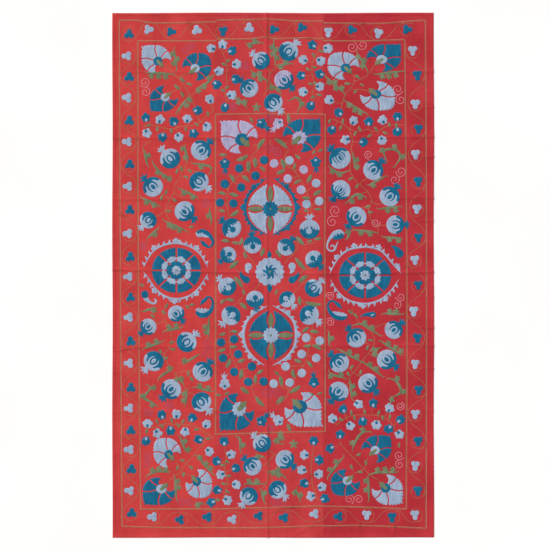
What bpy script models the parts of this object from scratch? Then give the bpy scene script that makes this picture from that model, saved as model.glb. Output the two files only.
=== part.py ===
"""Embroidered hanging of three narrow loom lengths sewn side by side.

It lies face up and flat, with the soft ridges that folding has left in it.
Metres, +Z up. The origin is under the middle of the cloth, and +Y is its top end.
"""
import math
from collections import namedtuple

import bpy

# Driving dimensions
WIDTH = 1.416
LENGTH = 2.310
SEAM_LEFT_X = -0.250
SEAM_RIGHT_X = 0.221
SEAM_GAP = 0.0003
CLOTH_THICKNESS = 0.0020
HEM_THICKNESS = 0.0026
HEM_WIDTH = 0.012

# The outer edges aren't quite straight
EDGE_WANDER = 0.0010
EDGE_WAVELENGTH = 0.83

# How far apart two rows or two columns of points may be
ROW_SPACING = 0.11
COLUMN_SPACING = 0.085

# Where the points of a fold's ridge and of a pucker's lie, as parts of its half width
RIDGE_STEPS = (-1.0, -0.55, 0.0, 0.55, 1.0)
PUCKER_STEPS = (-1.0, 0.0, 1.0)

# A fold's ridge isn't as high all along
FOLD_UNEVENNESS = 0.3
FOLD_WAVELENGTH = 0.62

# Folds that cross the cloth, by their places on its left and right edges, bottom one first
CrossFold = namedtuple("CrossFold", "left_y right_y rise half_width")
CROSS_FOLDS = (
    CrossFold(left_y=-0.600, right_y=-0.594, rise=0.0016, half_width=0.016),
    CrossFold(left_y=-0.316, right_y=-0.309, rise=0.0022, half_width=0.017),
    CrossFold(left_y=0.026, right_y=-0.009, rise=0.0036, half_width=0.015),
    CrossFold(left_y=0.334, right_y=0.341, rise=0.0024, half_width=0.017),
    CrossFold(left_y=0.604, right_y=0.609, rise=0.0028, half_width=0.015),
    CrossFold(left_y=0.893, right_y=0.898, rise=0.0018, half_width=0.017),
)

# The fold that runs the length of the cloth, by its places on the bottom and top ends
LongFold = namedtuple("LongFold", "bottom_x top_x rise half_width")
LONG_FOLD = LongFold(bottom_x=-0.026, top_x=-0.030, rise=0.0032, half_width=0.014)

# Short puckers that start at the right hem and die out inward
Pucker = namedtuple("Pucker", "y reach rise half_width")
PUCKERS = (
    Pucker(y=-0.410, reach=0.10, rise=0.0020, half_width=0.010),
    Pucker(y=-0.230, reach=0.14, rise=0.0024, half_width=0.011),
    Pucker(y=-0.095, reach=0.09, rise=0.0018, half_width=0.009),
    Pucker(y=0.240, reach=0.12, rise=0.0022, half_width=0.010),
    Pucker(y=0.522, reach=0.13, rise=0.0024, half_width=0.010),
    Pucker(y=0.740, reach=0.08, rise=0.0016, half_width=0.009),
)

# Plain-woven red cloth, a little paler and more orange in the left length
Finish = namedtuple("Finish", "name colour roughness")
LEFT_CLOTH = Finish("vermilion_handloom", "#BE4644", 0.72)
MIDDLE_CLOTH = Finish("madder_handloom", "#B43F41", 0.72)
RIGHT_CLOTH = Finish("crimson_handloom", "#B2343B", 0.72)

Panel = namedtuple("Panel", "name left_x right_x finish")
PANELS = (
    Panel("panel_left", -WIDTH / 2, SEAM_LEFT_X - SEAM_GAP / 2, LEFT_CLOTH),
    Panel("panel_middle", SEAM_LEFT_X + SEAM_GAP / 2, SEAM_RIGHT_X - SEAM_GAP / 2, MIDDLE_CLOTH),
    Panel("panel_right", SEAM_RIGHT_X + SEAM_GAP / 2, WIDTH / 2, RIGHT_CLOTH),
)


def linear_colour(hex_code):
    """A colour written as sRGB hex, as the linear values that a shader takes."""
    def to_linear(value):
        if value <= 0.04045:
            return value / 12.92
        return ((value + 0.055) / 1.055) ** 2.4
    channels = [int(hex_code[start:start + 2], 16) / 255 for start in (1, 3, 5)]
    return tuple(to_linear(value) for value in channels) + (1.0,)


def cloth_material(finish):
    material = bpy.data.materials.new(finish.name)
    material.use_nodes = True
    shader = material.node_tree.nodes["Principled BSDF"]
    shader.inputs["Base Color"].default_value = linear_colour(finish.colour)
    shader.inputs["Roughness"].default_value = finish.roughness
    shader.inputs["Metallic"].default_value = 0.0
    return material


def between(start, end, share):
    return start + (end - start) * share


def across_share(x):
    """How far x lies from the cloth's left edge to its right one, from 0 to 1."""
    return x / WIDTH + 0.5


def along_share(y):
    """How far y lies from the cloth's bottom end to its top one, from 0 to 1."""
    return y / LENGTH + 0.5


def ridge(distance, half_width):
    """A soft ridge's profile: 1 on its crest and 0 at its feet and beyond."""
    if abs(distance) >= half_width:
        return 0.0
    return math.cos(0.5 * math.pi * distance / half_width) ** 2


def unevenness(along):
    wave = math.sin(2 * math.pi * along / FOLD_WAVELENGTH)
    return 1.0 - FOLD_UNEVENNESS * (0.5 + 0.5 * wave)


def lift(x, y):
    """How high the cloth's underside stands above the surface at one place."""
    rises = [0.0]
    for fold in CROSS_FOLDS:
        crest_y = between(fold.left_y, fold.right_y, across_share(x))
        rises.append(fold.rise * unevenness(x + fold.left_y) * ridge(y - crest_y, fold.half_width))
    crest_x = between(LONG_FOLD.bottom_x, LONG_FOLD.top_x, along_share(y))
    rises.append(LONG_FOLD.rise * unevenness(y) * ridge(x - crest_x, LONG_FOLD.half_width))
    for pucker in PUCKERS:
        inward = (WIDTH / 2 - x) / pucker.reach
        fade = max(0.0, 1.0 - inward)
        rises.append(pucker.rise * fade * ridge(y - pucker.y, pucker.half_width))
    return max(rises)


def filled(lines, spacing):
    """The lines in order, each as its two end values, with more put in where they lie far apart."""
    ordered = sorted(lines, key=sum)
    result = [ordered[0]]
    for line in ordered[1:]:
        before = result[-1]
        widest = max(line[0] - before[0], line[1] - before[1])
        count = max(1, math.ceil(widest / spacing))
        for step in range(1, count + 1):
            share = step / count
            result.append((between(before[0], line[0], share), between(before[1], line[1], share)))
    return result


def rows_of(panel):
    """Rows of points from the bottom end to the top one, each as its y on the left and right edges."""
    hem_line = LENGTH / 2 - HEM_WIDTH
    levels = [-LENGTH / 2, -hem_line, hem_line, LENGTH / 2]
    if panel.name == "panel_right":
        levels += [pucker.y + step * pucker.half_width for pucker in PUCKERS for step in PUCKER_STEPS]
    lines = [(level, level) for level in levels]
    for fold in CROSS_FOLDS:
        offsets = [step * fold.half_width for step in RIDGE_STEPS]
        lines += [(fold.left_y + offset, fold.right_y + offset) for offset in offsets]
    return filled(lines, ROW_SPACING)


def columns_of(panel):
    """Columns of points from left to right, each as its x on the bottom and top ends."""
    places = [panel.left_x, panel.right_x]
    if panel.name == "panel_left":
        places.append(panel.left_x + HEM_WIDTH)
    if panel.name == "panel_right":
        places.append(panel.right_x - HEM_WIDTH)
    lines = [(place, place) for place in places]
    if panel.name == "panel_middle":
        offsets = [step * LONG_FOLD.half_width for step in RIDGE_STEPS]
        lines += [(LONG_FOLD.bottom_x + offset, LONG_FOLD.top_x + offset) for offset in offsets]
    return filled(lines, COLUMN_SPACING)


def wander(distance_along):
    return EDGE_WANDER * math.sin(2 * math.pi * distance_along / EDGE_WAVELENGTH)


def wandered(x, y):
    """Moves the points of the outer hems a little, so that the edges run as cut and sewn by hand."""
    inner_x = WIDTH / 2 - HEM_WIDTH * 1.5
    inner_y = LENGTH / 2 - HEM_WIDTH * 1.5
    if abs(x) > inner_x:
        x -= math.copysign(EDGE_WANDER, x) + wander(y)
    if abs(y) > inner_y:
        y -= math.copysign(EDGE_WANDER, y) + wander(x)
    return x, y


def in_hem(x, y):
    close_to_side = abs(x) > WIDTH / 2 - HEM_WIDTH * 1.5
    close_to_end = abs(y) > LENGTH / 2 - HEM_WIDTH * 1.5
    return close_to_side or close_to_end


def build_panel(panel, collection):
    """One loom length: its underside as a sheet of points, thickened upward to the face."""
    rows = rows_of(panel)
    columns = columns_of(panel)
    points = []
    hem_points = []
    body_points = []
    for left_y, right_y in rows:
        for bottom_x, top_x in columns:
            middle_y = (left_y + right_y) / 2
            x = between(bottom_x, top_x, along_share(middle_y))
            y = between(left_y, right_y, across_share(x))
            group = hem_points if in_hem(x, y) else body_points
            group.append(len(points))
            rise = lift(x, y)
            x, y = wandered(x, y)
            points.append((x, y, rise))
    width = len(columns)
    faces = []
    for row in range(len(rows) - 1):
        for column in range(width - 1):
            corner = row * width + column
            faces.append((corner, corner + 1, corner + width + 1, corner + width))
    mesh = bpy.data.meshes.new(panel.name)
    mesh.from_pydata(points, [], faces)
    mesh.shade_smooth()
    mesh.set_sharp_from_angle(angle=math.radians(40))
    sheet = bpy.data.objects.new(panel.name, mesh)
    collection.objects.link(sheet)
    mesh.materials.append(cloth_material(panel.finish))
    thickness_group = sheet.vertex_groups.new(name="thickness")
    thickness_group.add(hem_points, 1.0, "REPLACE")
    thickness_group.add(body_points, CLOTH_THICKNESS / HEM_THICKNESS, "REPLACE")
    solidify = sheet.modifiers.new("cloth_thickness", "SOLIDIFY")
    solidify.thickness = HEM_THICKNESS
    solidify.offset = 1.0
    solidify.vertex_group = thickness_group.name
    return sheet


def build_hanging():
    for leftover in list(bpy.data.objects):
        bpy.data.objects.remove(leftover, do_unlink=True)
    collection = bpy.data.collections.new("embroidered_hanging")
    bpy.context.scene.collection.children.link(collection)
    for panel in PANELS:
        build_panel(panel, collection)


build_hanging()
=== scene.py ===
import math
import random
from collections import namedtuple

import bpy
import numpy as np
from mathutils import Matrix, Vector
from mathutils.geometry import delaunay_2d_cdt


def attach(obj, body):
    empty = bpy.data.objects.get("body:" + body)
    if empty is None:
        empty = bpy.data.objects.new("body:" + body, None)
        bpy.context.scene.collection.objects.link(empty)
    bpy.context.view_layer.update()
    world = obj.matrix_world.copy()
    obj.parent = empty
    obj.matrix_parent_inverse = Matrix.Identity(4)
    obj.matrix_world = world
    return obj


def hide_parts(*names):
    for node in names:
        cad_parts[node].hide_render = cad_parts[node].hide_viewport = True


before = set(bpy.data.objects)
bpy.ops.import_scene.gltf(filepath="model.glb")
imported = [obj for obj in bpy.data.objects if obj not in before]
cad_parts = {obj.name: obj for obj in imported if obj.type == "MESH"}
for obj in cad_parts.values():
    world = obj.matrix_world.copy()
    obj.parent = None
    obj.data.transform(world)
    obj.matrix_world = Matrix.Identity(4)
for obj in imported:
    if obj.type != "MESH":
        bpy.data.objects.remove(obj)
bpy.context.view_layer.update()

# The cloth's own sizes in metres, the same as in the part's source
WIDTH = 1.416
LENGTH = 2.310
SEAM_LEFT_X = -0.250
SEAM_RIGHT_X = 0.221
SEAM_GAP = 0.0003
HEM_WIDTH = 0.012
EDGE_WANDER = 0.0010
EDGE_WAVELENGTH = 0.83
FOLD_UNEVENNESS = 0.3
FOLD_WAVELENGTH = 0.62

# The bow is how far a crest strays from its solid's straight line, from the middle out to the right edge
CrossFold = namedtuple("CrossFold", "left_y right_y rise half_width bow")
CROSS_FOLDS = (
    CrossFold(-0.600, -0.594, 0.0016, 0.016, 0.0),
    CrossFold(-0.316, -0.309, 0.0022, 0.017, 0.0),
    CrossFold(0.026, -0.009, 0.0036, 0.015, 0.024),
    CrossFold(0.334, 0.341, 0.0024, 0.017, 0.0),
    CrossFold(0.604, 0.609, 0.0028, 0.015, 0.0),
    CrossFold(0.893, 0.898, 0.0018, 0.017, 0.0),
)
LongFold = namedtuple("LongFold", "bottom_x top_x rise half_width")
LONG_FOLD = LongFold(-0.026, -0.030, 0.0032, 0.014)
Pucker = namedtuple("Pucker", "y reach rise half_width")
PUCKERS = (
    Pucker(-0.410, 0.10, 0.0020, 0.010),
    Pucker(-0.230, 0.14, 0.0024, 0.011),
    Pucker(-0.095, 0.09, 0.0018, 0.009),
    Pucker(0.240, 0.12, 0.0022, 0.010),
    Pucker(0.522, 0.13, 0.0024, 0.010),
    Pucker(0.740, 0.08, 0.0016, 0.009),
)

# Heights above the underside's lie: one thickness of cloth, the doubled hem, and the stitches through it.
# A layer is how much further a thread stands out on the face and back where it is stitched over another.
CLOTH_UNDER = 0.0003
CLOTH_FACE = 0.0013
HEM_UNDER = 0.0001
HEM_FACE = 0.0021
SILK_RIM = 0.00135
SILK_FACE = 0.0019
SILK_LAYER = 0.0002
SILK_BACK = 0.00018
SILK_BACK_LAYER = 0.00004
SILK_UNEVENNESS = 0.00005
LINK_JOINT = 0.00155
LINK_CREST = 0.00195
LINK_EDGE = CLOTH_FACE - 0.00005
LINK_BACK = CLOTH_UNDER - 0.00015

# Widths of a pad's rounded rim, the step at a hem's inner side, a turned edge, and the dip beside a seam
RIM_ROUNDING = 0.0016
HEM_STEP = 0.0012
TURNED_WIDTH = 0.0016
DIP_WIDTH = 0.0024

# Sewing thread rises this far over the cloth, and its ends and edges dive into it
THREAD_RISE = 0.00012
THREAD_DIVE = 0.0003
THREAD_DEPTH = 0.0006

# How quickly a pressed crease falls off beside its crest
CREST_WIDTH = 0.0045

# How far floss reaches across a crest before it follows the cloth down again
FLOSS_SPAN = 0.0032

# How close the points of the cloth lie, on a fold and elsewhere
FOLD_STEP = 0.0025
PLAIN_STEP = 0.0075

# How far apart the points inside a pad lie, and how long a link of chain stitch is.
# A real link is 2 to 3 mm long, too small to show, so it is drawn twice as long.
PAD_STEP = 0.0058
LINK = 0.0050

# Filling an outline: points closer than the weld are one, and triangles under the sliver's size go
FILL_INSIDE = 1
FACE_WELD = 1e-6
BACK_WELD = 1e-7
SLIVER = 1e-14

# Steps in the side of a petal and in one scallop of its edge, and the thinnest band, in centimetres
SIDE_STEPS = 7
SCALLOP_STEPS = 5
THINNEST = 0.06

# Scales of wave patterns, whose bands lie 0.314 m apart at scale 1, or 0.444 m where they run diagonally
WEAVE_BANDS = 39.79
TIE_BANDS = 105.0

rng = random.Random(41)

# The motifs are placed in centimetres on a ruler laid over the cloth, whose middle is here on it
RULER_MIDDLE = np.array((-0.235, 0.25))
CM = 0.01


def between(start, end, share):
    return start + (end - start) * share


def ridge(distance, half_width):
    """A fold's profile: a soft foot as wide as the solid's, with a crisp crest along its middle."""
    inside = np.abs(distance) < half_width
    foot = np.cos(0.5 * np.pi * distance / half_width) ** 2
    crest = np.exp(-np.abs(distance) / CREST_WIDTH)
    return np.where(inside, foot * between(0.5, 1.0, crest), 0.0)


def unevenness(along):
    return 1.0 - FOLD_UNEVENNESS * (0.5 + 0.5 * np.sin(2 * np.pi * along / FOLD_WAVELENGTH))


# Small creases that the solid leaves out, by their ends on the ruler; rise and half width are in metres
FineCrease = namedtuple("FineCrease", "x1 y1 x2 y2 rise half_width")
FINE_CREASES = (
    FineCrease(6.5, -95.5, 21.0, -83.5, 0.0032, 0.012),
    FineCrease(-3.0, -104.0, 13.0, -100.0, 0.0027, 0.011),
    FineCrease(37.2, -115.0, 37.6, -107.5, 0.0034, 0.011),
    FineCrease(53.4, -115.0, 52.6, -107.0, 0.0036, 0.011),
    FineCrease(8.0, -115.0, 19.0, -108.5, 0.0029, 0.012),
    FineCrease(38.5, -84.0, 39.8, -92.0, 0.0030, 0.011),
    FineCrease(12.0, 107.5, 18.5, 101.5, 0.0032, 0.012),
    FineCrease(36.0, 115.0, 41.0, 108.5, 0.0030, 0.012),
    FineCrease(49.0, 114.5, 66.5, 101.0, 0.0029, 0.013),
    FineCrease(-19.0, 114.0, -10.5, 106.5, 0.0027, 0.011),
    FineCrease(-40.0, 113.5, -33.5, 107.5, 0.0027, 0.011),
    FineCrease(-66.0, 22.0, -60.0, 17.0, 0.0030, 0.011),
    FineCrease(-70.0, -33.0, -62.0, -31.5, 0.0034, 0.011),
    FineCrease(-70.0, 27.5, -63.0, 26.5, 0.0034, 0.011),
    FineCrease(58.0, 88.0, 69.0, 83.0, 0.0032, 0.012),
    FineCrease(60.0, -70.0, 70.0, -76.0, 0.0032, 0.012),
    FineCrease(-24.0, 9.0, -13.0, 4.5, 0.0027, 0.011),
    FineCrease(13.0, -8.0, 21.5, 2.5, 0.0027, 0.011),
)


def fine_crease(fold, x, y):
    """A short soft crease: highest along its middle, and gone at both ends."""
    x1, y1 = (np.array((fold.x1, fold.y1)) - RULER_MIDDLE) * CM
    x2, y2 = (np.array((fold.x2, fold.y2)) - RULER_MIDDLE) * CM
    run = math.hypot(x2 - x1, y2 - y1)
    along = ((x - x1) * (x2 - x1) + (y - y1) * (y2 - y1)) / run ** 2
    aside = ((x - x1) * (y2 - y1) - (y - y1) * (x2 - x1)) / run
    return fold.rise * np.sin(np.pi * np.clip(along, 0.0, 1.0)) ** 0.7 * ridge(aside, fold.half_width)


def strayed(bow, x):
    """How far a crest strays from its solid's line: none on the left half, and most at the right edge."""
    return bow * np.clip(2.0 * x / WIDTH, 0.0, 1.0) ** 1.5


def lift(x, y):
    """How high the cloth's underside stands above the surface, for arrays of places."""
    height = np.zeros_like(x)
    for fold in CROSS_FOLDS:
        crest_y = between(fold.left_y, fold.right_y, x / WIDTH + 0.5) + strayed(fold.bow, x)
        rise = fold.rise * unevenness(x + fold.left_y) * ridge(y - crest_y, fold.half_width)
        height = np.maximum(height, rise)
    crest_x = between(LONG_FOLD.bottom_x, LONG_FOLD.top_x, y / LENGTH + 0.5)
    rise = LONG_FOLD.rise * unevenness(y) * ridge(x - crest_x, LONG_FOLD.half_width)
    height = np.maximum(height, rise)
    for pucker in PUCKERS:
        fade = np.clip(1.0 - (WIDTH / 2 - x) / pucker.reach, 0.0, None)
        height = np.maximum(height, pucker.rise * fade * ridge(y - pucker.y, pucker.half_width))
    for fold in FINE_CREASES:
        height = np.maximum(height, fine_crease(fold, x, y))
    return height + ripple(x, y)


def bridged(x, y):
    """Taut floss spans a sharp crest: it lies as high as the highest cloth within its reach."""
    heights = [lift(x, y)]
    for aside_x, aside_y in ((1, 0), (-1, 0), (0, 1), (0, -1)):
        heights.append(lift(x + aside_x * FLOSS_SPAN, y + aside_y * FLOSS_SPAN))
    return np.max(heights, axis=0)


def ripple(x, y):
    """Hand-woven cloth never lies dead flat: slow shallow waves, under half a millimetre."""
    slow = np.sin(21.0 * x + 3.0 * np.sin(5.3 * y)) * np.sin(17.0 * y + 2.0 * np.sin(6.1 * x))
    quick = np.sin(58.0 * x + 2.1 * np.sin(23.0 * y)) * np.sin(49.0 * y + 1.7 * np.sin(31.0 * x))
    return 0.00016 * (1.0 + slow) + 0.00005 * (1.0 + quick)


def wander(along):
    return EDGE_WANDER * np.sin(2 * np.pi * along / EDGE_WAVELENGTH)


def wandered(x, y):
    """The outer hems run as cut and sewn by hand, not dead straight."""
    near_side = np.abs(x) > WIDTH / 2 - HEM_WIDTH * 1.5
    near_end = np.abs(y) > LENGTH / 2 - HEM_WIDTH * 1.5
    moved_x = np.where(near_side, x - np.copysign(EDGE_WANDER, x) - wander(y), x)
    moved_y = np.where(near_end, y - np.copysign(EDGE_WANDER, y) - wander(moved_x), y)
    return moved_x, moved_y


# Colours

def linear_colour(hex_code):
    """A colour written as sRGB hex, as the linear values that a shader takes."""
    def to_linear(value):
        if value <= 0.04045:
            return value / 12.92
        return ((value + 0.055) / 1.055) ** 2.4
    channels = [int(hex_code[start:start + 2], 16) / 255 for start in (1, 3, 5)]
    return tuple(to_linear(value) for value in channels) + (1.0,)


# Materials

def add_node(tree, kind, settings=None, inputs=None):
    """Adds one node, with its settings and with each input set or linked."""
    node = tree.nodes.new(kind)
    for name, value in (settings or {}).items():
        setattr(node, name, value)
    for name, value in (inputs or {}).items():
        socket = node.inputs[name]
        if isinstance(value, bpy.types.NodeSocket):
            tree.links.new(value, socket)
        else:
            socket.default_value = value
    return node


def shaded(name, roughness, sheen, sheen_tint, specular):
    """A new material with its shader's plain values; its colour and bump are linked later."""
    material = bpy.data.materials.new(name)
    material.use_nodes = True
    shader = material.node_tree.nodes["Principled BSDF"]
    values = {"Roughness": roughness, "Metallic": 0.0, "IOR": 1.5, "Specular IOR Level": specular,
              "Sheen Weight": sheen, "Sheen Roughness": 0.5, "Sheen Tint": sheen_tint}
    for socket, value in values.items():
        shader.inputs[socket].default_value = value
    return material, material.node_tree, shader


def streaks(tree, place, across, along, angle=0.0, detail=2.0):
    """Noise drawn out into streaks, across by along metres, turned from the length by an angle."""
    turned = add_node(tree, "ShaderNodeMapping", {"vector_type": "TEXTURE"},
                      {"Vector": place, "Rotation": (0.0, 0.0, angle), "Scale": (across, along, 1.0)})
    return add_node(tree, "ShaderNodeTexNoise", None,
                    {"Vector": turned.outputs["Vector"], "Scale": 1.0, "Detail": detail})


def toned(tree, amount, stops):
    """A thread's colour from dark to light by an amount."""
    ramp = add_node(tree, "ShaderNodeValToRGB", None, {"Fac": amount})
    band = ramp.color_ramp
    band.elements[0].position = stops[0][0]
    band.elements[0].color = linear_colour(stops[0][1])
    band.elements[1].position = stops[-1][0]
    band.elements[1].color = linear_colour(stops[-1][1])
    for position, hex_code in stops[1:-1]:
        band.elements.new(position).color = linear_colour(hex_code)
    return ramp


def mixed(tree, share, first, second):
    """Two patterns in one, by a fixed share of the second."""
    blend = add_node(tree, "ShaderNodeMix", {"data_type": "FLOAT"}, {0: share, 2: first, 3: second})
    return blend.outputs[0]


def dye_and_painted_light(tree, shader, tone, dark, middle, light):
    """Gives the shader its base colour from three shades by a tone: the dye's own colour, with painted light
    put into the shades by the cloth and painted sheen put into the tone by the silk.
    """
    colour = toned(tree, tone, ((0.34, dark), (0.50, middle), (0.66, light)))
    tree.links.new(colour.outputs["Color"], shader.inputs["Base Color"])


def raised(tree, shader, relief, strength, depth):
    """Gives the shader a bump from a relief, as deep as it is in metres."""
    bump = add_node(tree, "ShaderNodeBump", None,
                    {"Height": relief, "Strength": strength, "Distance": depth})
    tree.links.new(bump.outputs["Normal"], shader.inputs["Normal"])


def handloom_cloth(name, dark, middle, light):
    """Hand-woven plain cloth of cotton and silk in a red dye: matt, with slubs each way and slow dye patches.
    """
    material, tree, shader = shaded(name, 0.82, 0.03, (1.0, 0.62, 0.55, 1.0), 0.15)
    place = add_node(tree, "ShaderNodeTexCoord").outputs["Object"]
    # Slubs are thick places in a thread, about 2 mm across and some centimetres long
    weft_slubs = streaks(tree, place, 0.055, 0.0026).outputs["Fac"]
    warp_slubs = streaks(tree, place, 0.0030, 0.085).outputs["Fac"]
    # Patches where the dye took unevenly, about 10 cm across
    dye_patches = streaks(tree, place, 0.11, 0.15, 0.4, 3.0).outputs["Fac"]
    slubs = mixed(tree, 0.45, weft_slubs, warp_slubs)
    dye_and_painted_light(tree, shader, mixed(tree, 0.5, slubs, dye_patches), dark, middle, light)
    # The real weave has 20 threads a centimetre, too fine to show, so it is drawn as bands 8 mm apart
    bands = []
    for direction in ("X", "Y"):
        wave = add_node(tree, "ShaderNodeTexWave", {"bands_direction": direction},
                        {"Vector": place, "Scale": WEAVE_BANDS, "Distortion": 1.2,
                         "Detail": 1.0, "Detail Scale": 0.4})
        bands.append(wave.outputs["Fac"])
    weave = mixed(tree, 0.5, *bands)
    raised(tree, shader, mixed(tree, 0.6, weave, slubs), 0.35, 0.0004)
    return material


def silk_floss(name, dark, middle, light, roughness=0.46):
    """Untwisted silk laid side by side and tied down: a soft gloss, and painted sheen in light and dark rows.
    """
    material, tree, shader = shaded(name, roughness, 0.04, (1.0, 1.0, 1.0, 1.0), 0.2)
    place = add_node(tree, "ShaderNodeTexCoord").outputs["Object"]
    # Rows of laid thread 3 to 5 mm wide, lighter and darker as painted sheen, for the way each row catches
    # the light
    rows = streaks(tree, place, 0.0042, 0.045, 0.0, 2.0).outputs["Fac"]
    # Shades of the dye lot, a few centimetres across
    shades = streaks(tree, place, 0.030, 0.050, 0.2, 2.0).outputs["Fac"]
    # The base colour is the painted sheen of the rows mixed with the real shades of the dye lot
    dye_and_painted_light(tree, shader, mixed(tree, 0.4, rows, shades), dark, middle, light)
    # Single threads are 0.4 mm wide, too fine to show, so they are drawn 1 mm wide
    threads = streaks(tree, place, 0.0010, 0.016, 0.0, 1.0).outputs["Fac"]
    # The tying stitches cross them aslant, 4 mm apart
    ties = add_node(tree, "ShaderNodeTexWave", {"bands_direction": "DIAGONAL"},
                    {"Vector": place, "Scale": TIE_BANDS, "Distortion": 2.0, "Detail": 1.0,
                     "Detail Scale": 0.6})
    raised(tree, shader, mixed(tree, 0.22, threads, ties.outputs["Fac"]), 0.45, 0.0005)
    return material


# The shapes of stitched motifs, as outlines in centimetres

def compass(word):
    """The angle of a direction given in words, such as up_left."""
    x = ("right" in word) - ("left" in word)
    y = ("up" in word) - ("down" in word)
    return math.degrees(math.atan2(y, x))


def polar(reach, angle):
    """A place by its reach from the middle and its angle."""
    return (reach * math.cos(math.radians(angle)), reach * math.sin(math.radians(angle)))


def bearing(start, end):
    """The angle of the way from one place to another."""
    return math.degrees(math.atan2(end[1] - start[1], end[0] - start[0]))


def turned(points, angle):
    angle = math.radians(angle)
    cosine, sine = math.cos(angle), math.sin(angle)
    return [(x * cosine - y * sine, x * sine + y * cosine) for x, y in points]


def moved(points, x, y):
    return [(px + x, py + y) for px, py in points]


def placed(points, x, y, angle=0.0, size=1.0):
    scaled = [(px * size, py * size) for px, py in points]
    return moved(turned(scaled, angle), x, y)


def oval(radius_x, radius_y, count=24):
    steps = [2 * math.pi * step / count for step in range(count)]
    return [(radius_x * math.cos(a), radius_y * math.sin(a)) for a in steps]


def smooth_line(points, step=0.5):
    """A smooth line through a few points, in even steps."""
    ends = [points[0]] + list(points) + [points[-1]]
    line = []
    for a, b, c, d in zip(ends, ends[1:], ends[2:], ends[3:]):
        length = math.dist(b, c)
        count = max(1, math.ceil(length / step))
        for index in range(count):
            t = index / count
            line.append(tuple(
                0.5 * (2 * q + (r - p) * t + (2 * p - 5 * q + 4 * r - s) * t * t
                       + (3 * q - p - 3 * r + s) * t ** 3)
                for p, q, r, s in zip(a, b, c, d)))
    line.append(tuple(points[-1]))
    return line


def lobed(lobes, core, count=48):
    """Round lobes grown together about a middle; each lobe is its angle, its reach and its radius."""
    outline = []
    for step in range(count):
        angle = 2 * math.pi * step / count
        far = core
        for direction, reach, radius in lobes:
            swing = angle - math.radians(direction)
            aside = reach * math.sin(swing)
            if abs(aside) < radius and math.cos(swing) > 0:
                far = max(far, reach * math.cos(swing) + math.sqrt(radius ** 2 - aside ** 2))
        outline.append((far * math.cos(angle), far * math.sin(angle)))
    return outline


def rosette(radius, lobes, roundness=0.16, squash=1.0):
    """A round flower with an edge of even lobes."""
    reach = radius * (1 - roundness)
    lobe = radius * roundness * 1.25
    ring = [(360 * k / lobes, reach, lobe) for k in range(lobes)]
    return [(x, y * squash) for x, y in lobed(ring, reach * 0.98, lobes * 6)]


def squared(angle, power):
    """How much further a slightly squared circle reaches towards its corners."""
    cosine, sine = abs(math.cos(math.radians(angle))), abs(math.sin(math.radians(angle)))
    return (cosine ** power + sine ** power) ** (-1 / power)


def scallop(count, share):
    """The edge of scallops at a share of its length: 1 on each one's top and 0 between two."""
    return abs(math.sin(math.pi * count * share)) ** 0.6


def petal(inner, reach_at, start, end, scallops, gap, bows=(0.0, 0.0), leans=(0.0, 0.0), depth=0.06):
    """One petal between two angles, with even red gaps beside it and a far edge stepped in scallops."""
    def side(angle, hand, bow, lean):
        points = []
        for step in range(SIDE_STEPS):
            share = step / SIDE_STEPS
            radius = between(inner, 0.95 * reach_at(angle), share)
            swing = angle + hand * math.degrees(gap / radius)
            points.append((radius, swing + bow * math.sin(math.pi * share) + lean * (1 - share)))
        return points

    first = side(start, 1, bows[0], leans[0])
    last = side(end, -1, bows[1], leans[1])
    outline = list(first)
    edge = scallops * SCALLOP_STEPS
    far_start = start + math.degrees(gap / reach_at(start))
    far_end = end - math.degrees(gap / reach_at(end))
    for step in range(edge + 1):
        share = step / edge
        swing = between(far_start, far_end, share)
        outline.append((reach_at(swing) * (1 - depth * (1 - scallop(scallops, share))), swing))
    outline += last[::-1]
    inner_steps = max(2, int(abs(end - start) / 12))
    first_in, last_in = first[0][1], last[0][1]
    for step in range(1, inner_steps):
        outline.append((inner, between(last_in, first_in, step / inner_steps)))
    return [polar(reach, angle) for reach, angle in outline]


def drop(tail, head, width, bend=0.0):
    """A comma: a round head, and a tail that tapers away from it."""
    spine = [tail, bent_middle(tail, head, bend), head]
    body = stroke(spine, lambda t: between(0.1, width * 0.97, t ** 0.8), 0.35)
    return [placed(oval(width / 2, width / 2, 20), *head), body]


def bent_middle(start, end, bend):
    """A point half way between two others, moved aside by a share of the way between them."""
    middle_x = (start[0] + end[0]) / 2 - (end[1] - start[1]) * bend
    middle_y = (start[1] + end[1]) / 2 + (end[0] - start[0]) * bend
    return (middle_x, middle_y)


def stroke(points, width_at, step=0.5):
    """A band along a smooth line; width_at gives its full width along it, from 0 to 1."""
    line = smooth_line(points, step)
    lengths = [0.0]
    for a, b in zip(line, line[1:]):
        lengths.append(lengths[-1] + math.dist(a, b))
    total = lengths[-1]
    left, right = [], []
    for index, (x, y) in enumerate(line):
        before = line[max(0, index - 1)]
        after = line[min(len(line) - 1, index + 1)]
        run = math.dist(before, after) or 1.0
        nx, ny = -(after[1] - before[1]) / run, (after[0] - before[0]) / run
        half = max(THINNEST / 2, 0.5 * width_at(lengths[index] / total))
        left.append((x + nx * half, y + ny * half))
        right.append((x - nx * half, y - ny * half))
    return right + left[::-1]


def leaf_width(width):
    """The width of a leaf along it: full in its middle, and blunt at both ends."""
    return lambda t: width * math.sin(math.pi * min(1.0, 0.04 + 0.94 * t)) ** 0.75


def thorn(root, tip, width):
    """A small hooked point on a leaf or ring."""
    return stroke([root, bent_middle(root, tip, 0.12), tip], lambda t: width * (1 - t) ** 0.7, 0.4)


# What has been stitched so far: pads and chain-stitch rows, by thread, and the places along the vines
pads = {}
rows_of_chain = {}
vine_places = []


def lay(thread, outlines, layer=0):
    """Fills the outlines, grown together into one pad, with a thread."""
    if isinstance(outlines[0][0], (int, float)):
        outlines = [outlines]
    pads.setdefault(thread, []).append((outlines, layer))


def chain(thread, points, width, step=0.6):
    """A row of chain stitch along a smooth line."""
    rows_of_chain.setdefault(thread, []).append((smooth_line(points, step), width))


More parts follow.
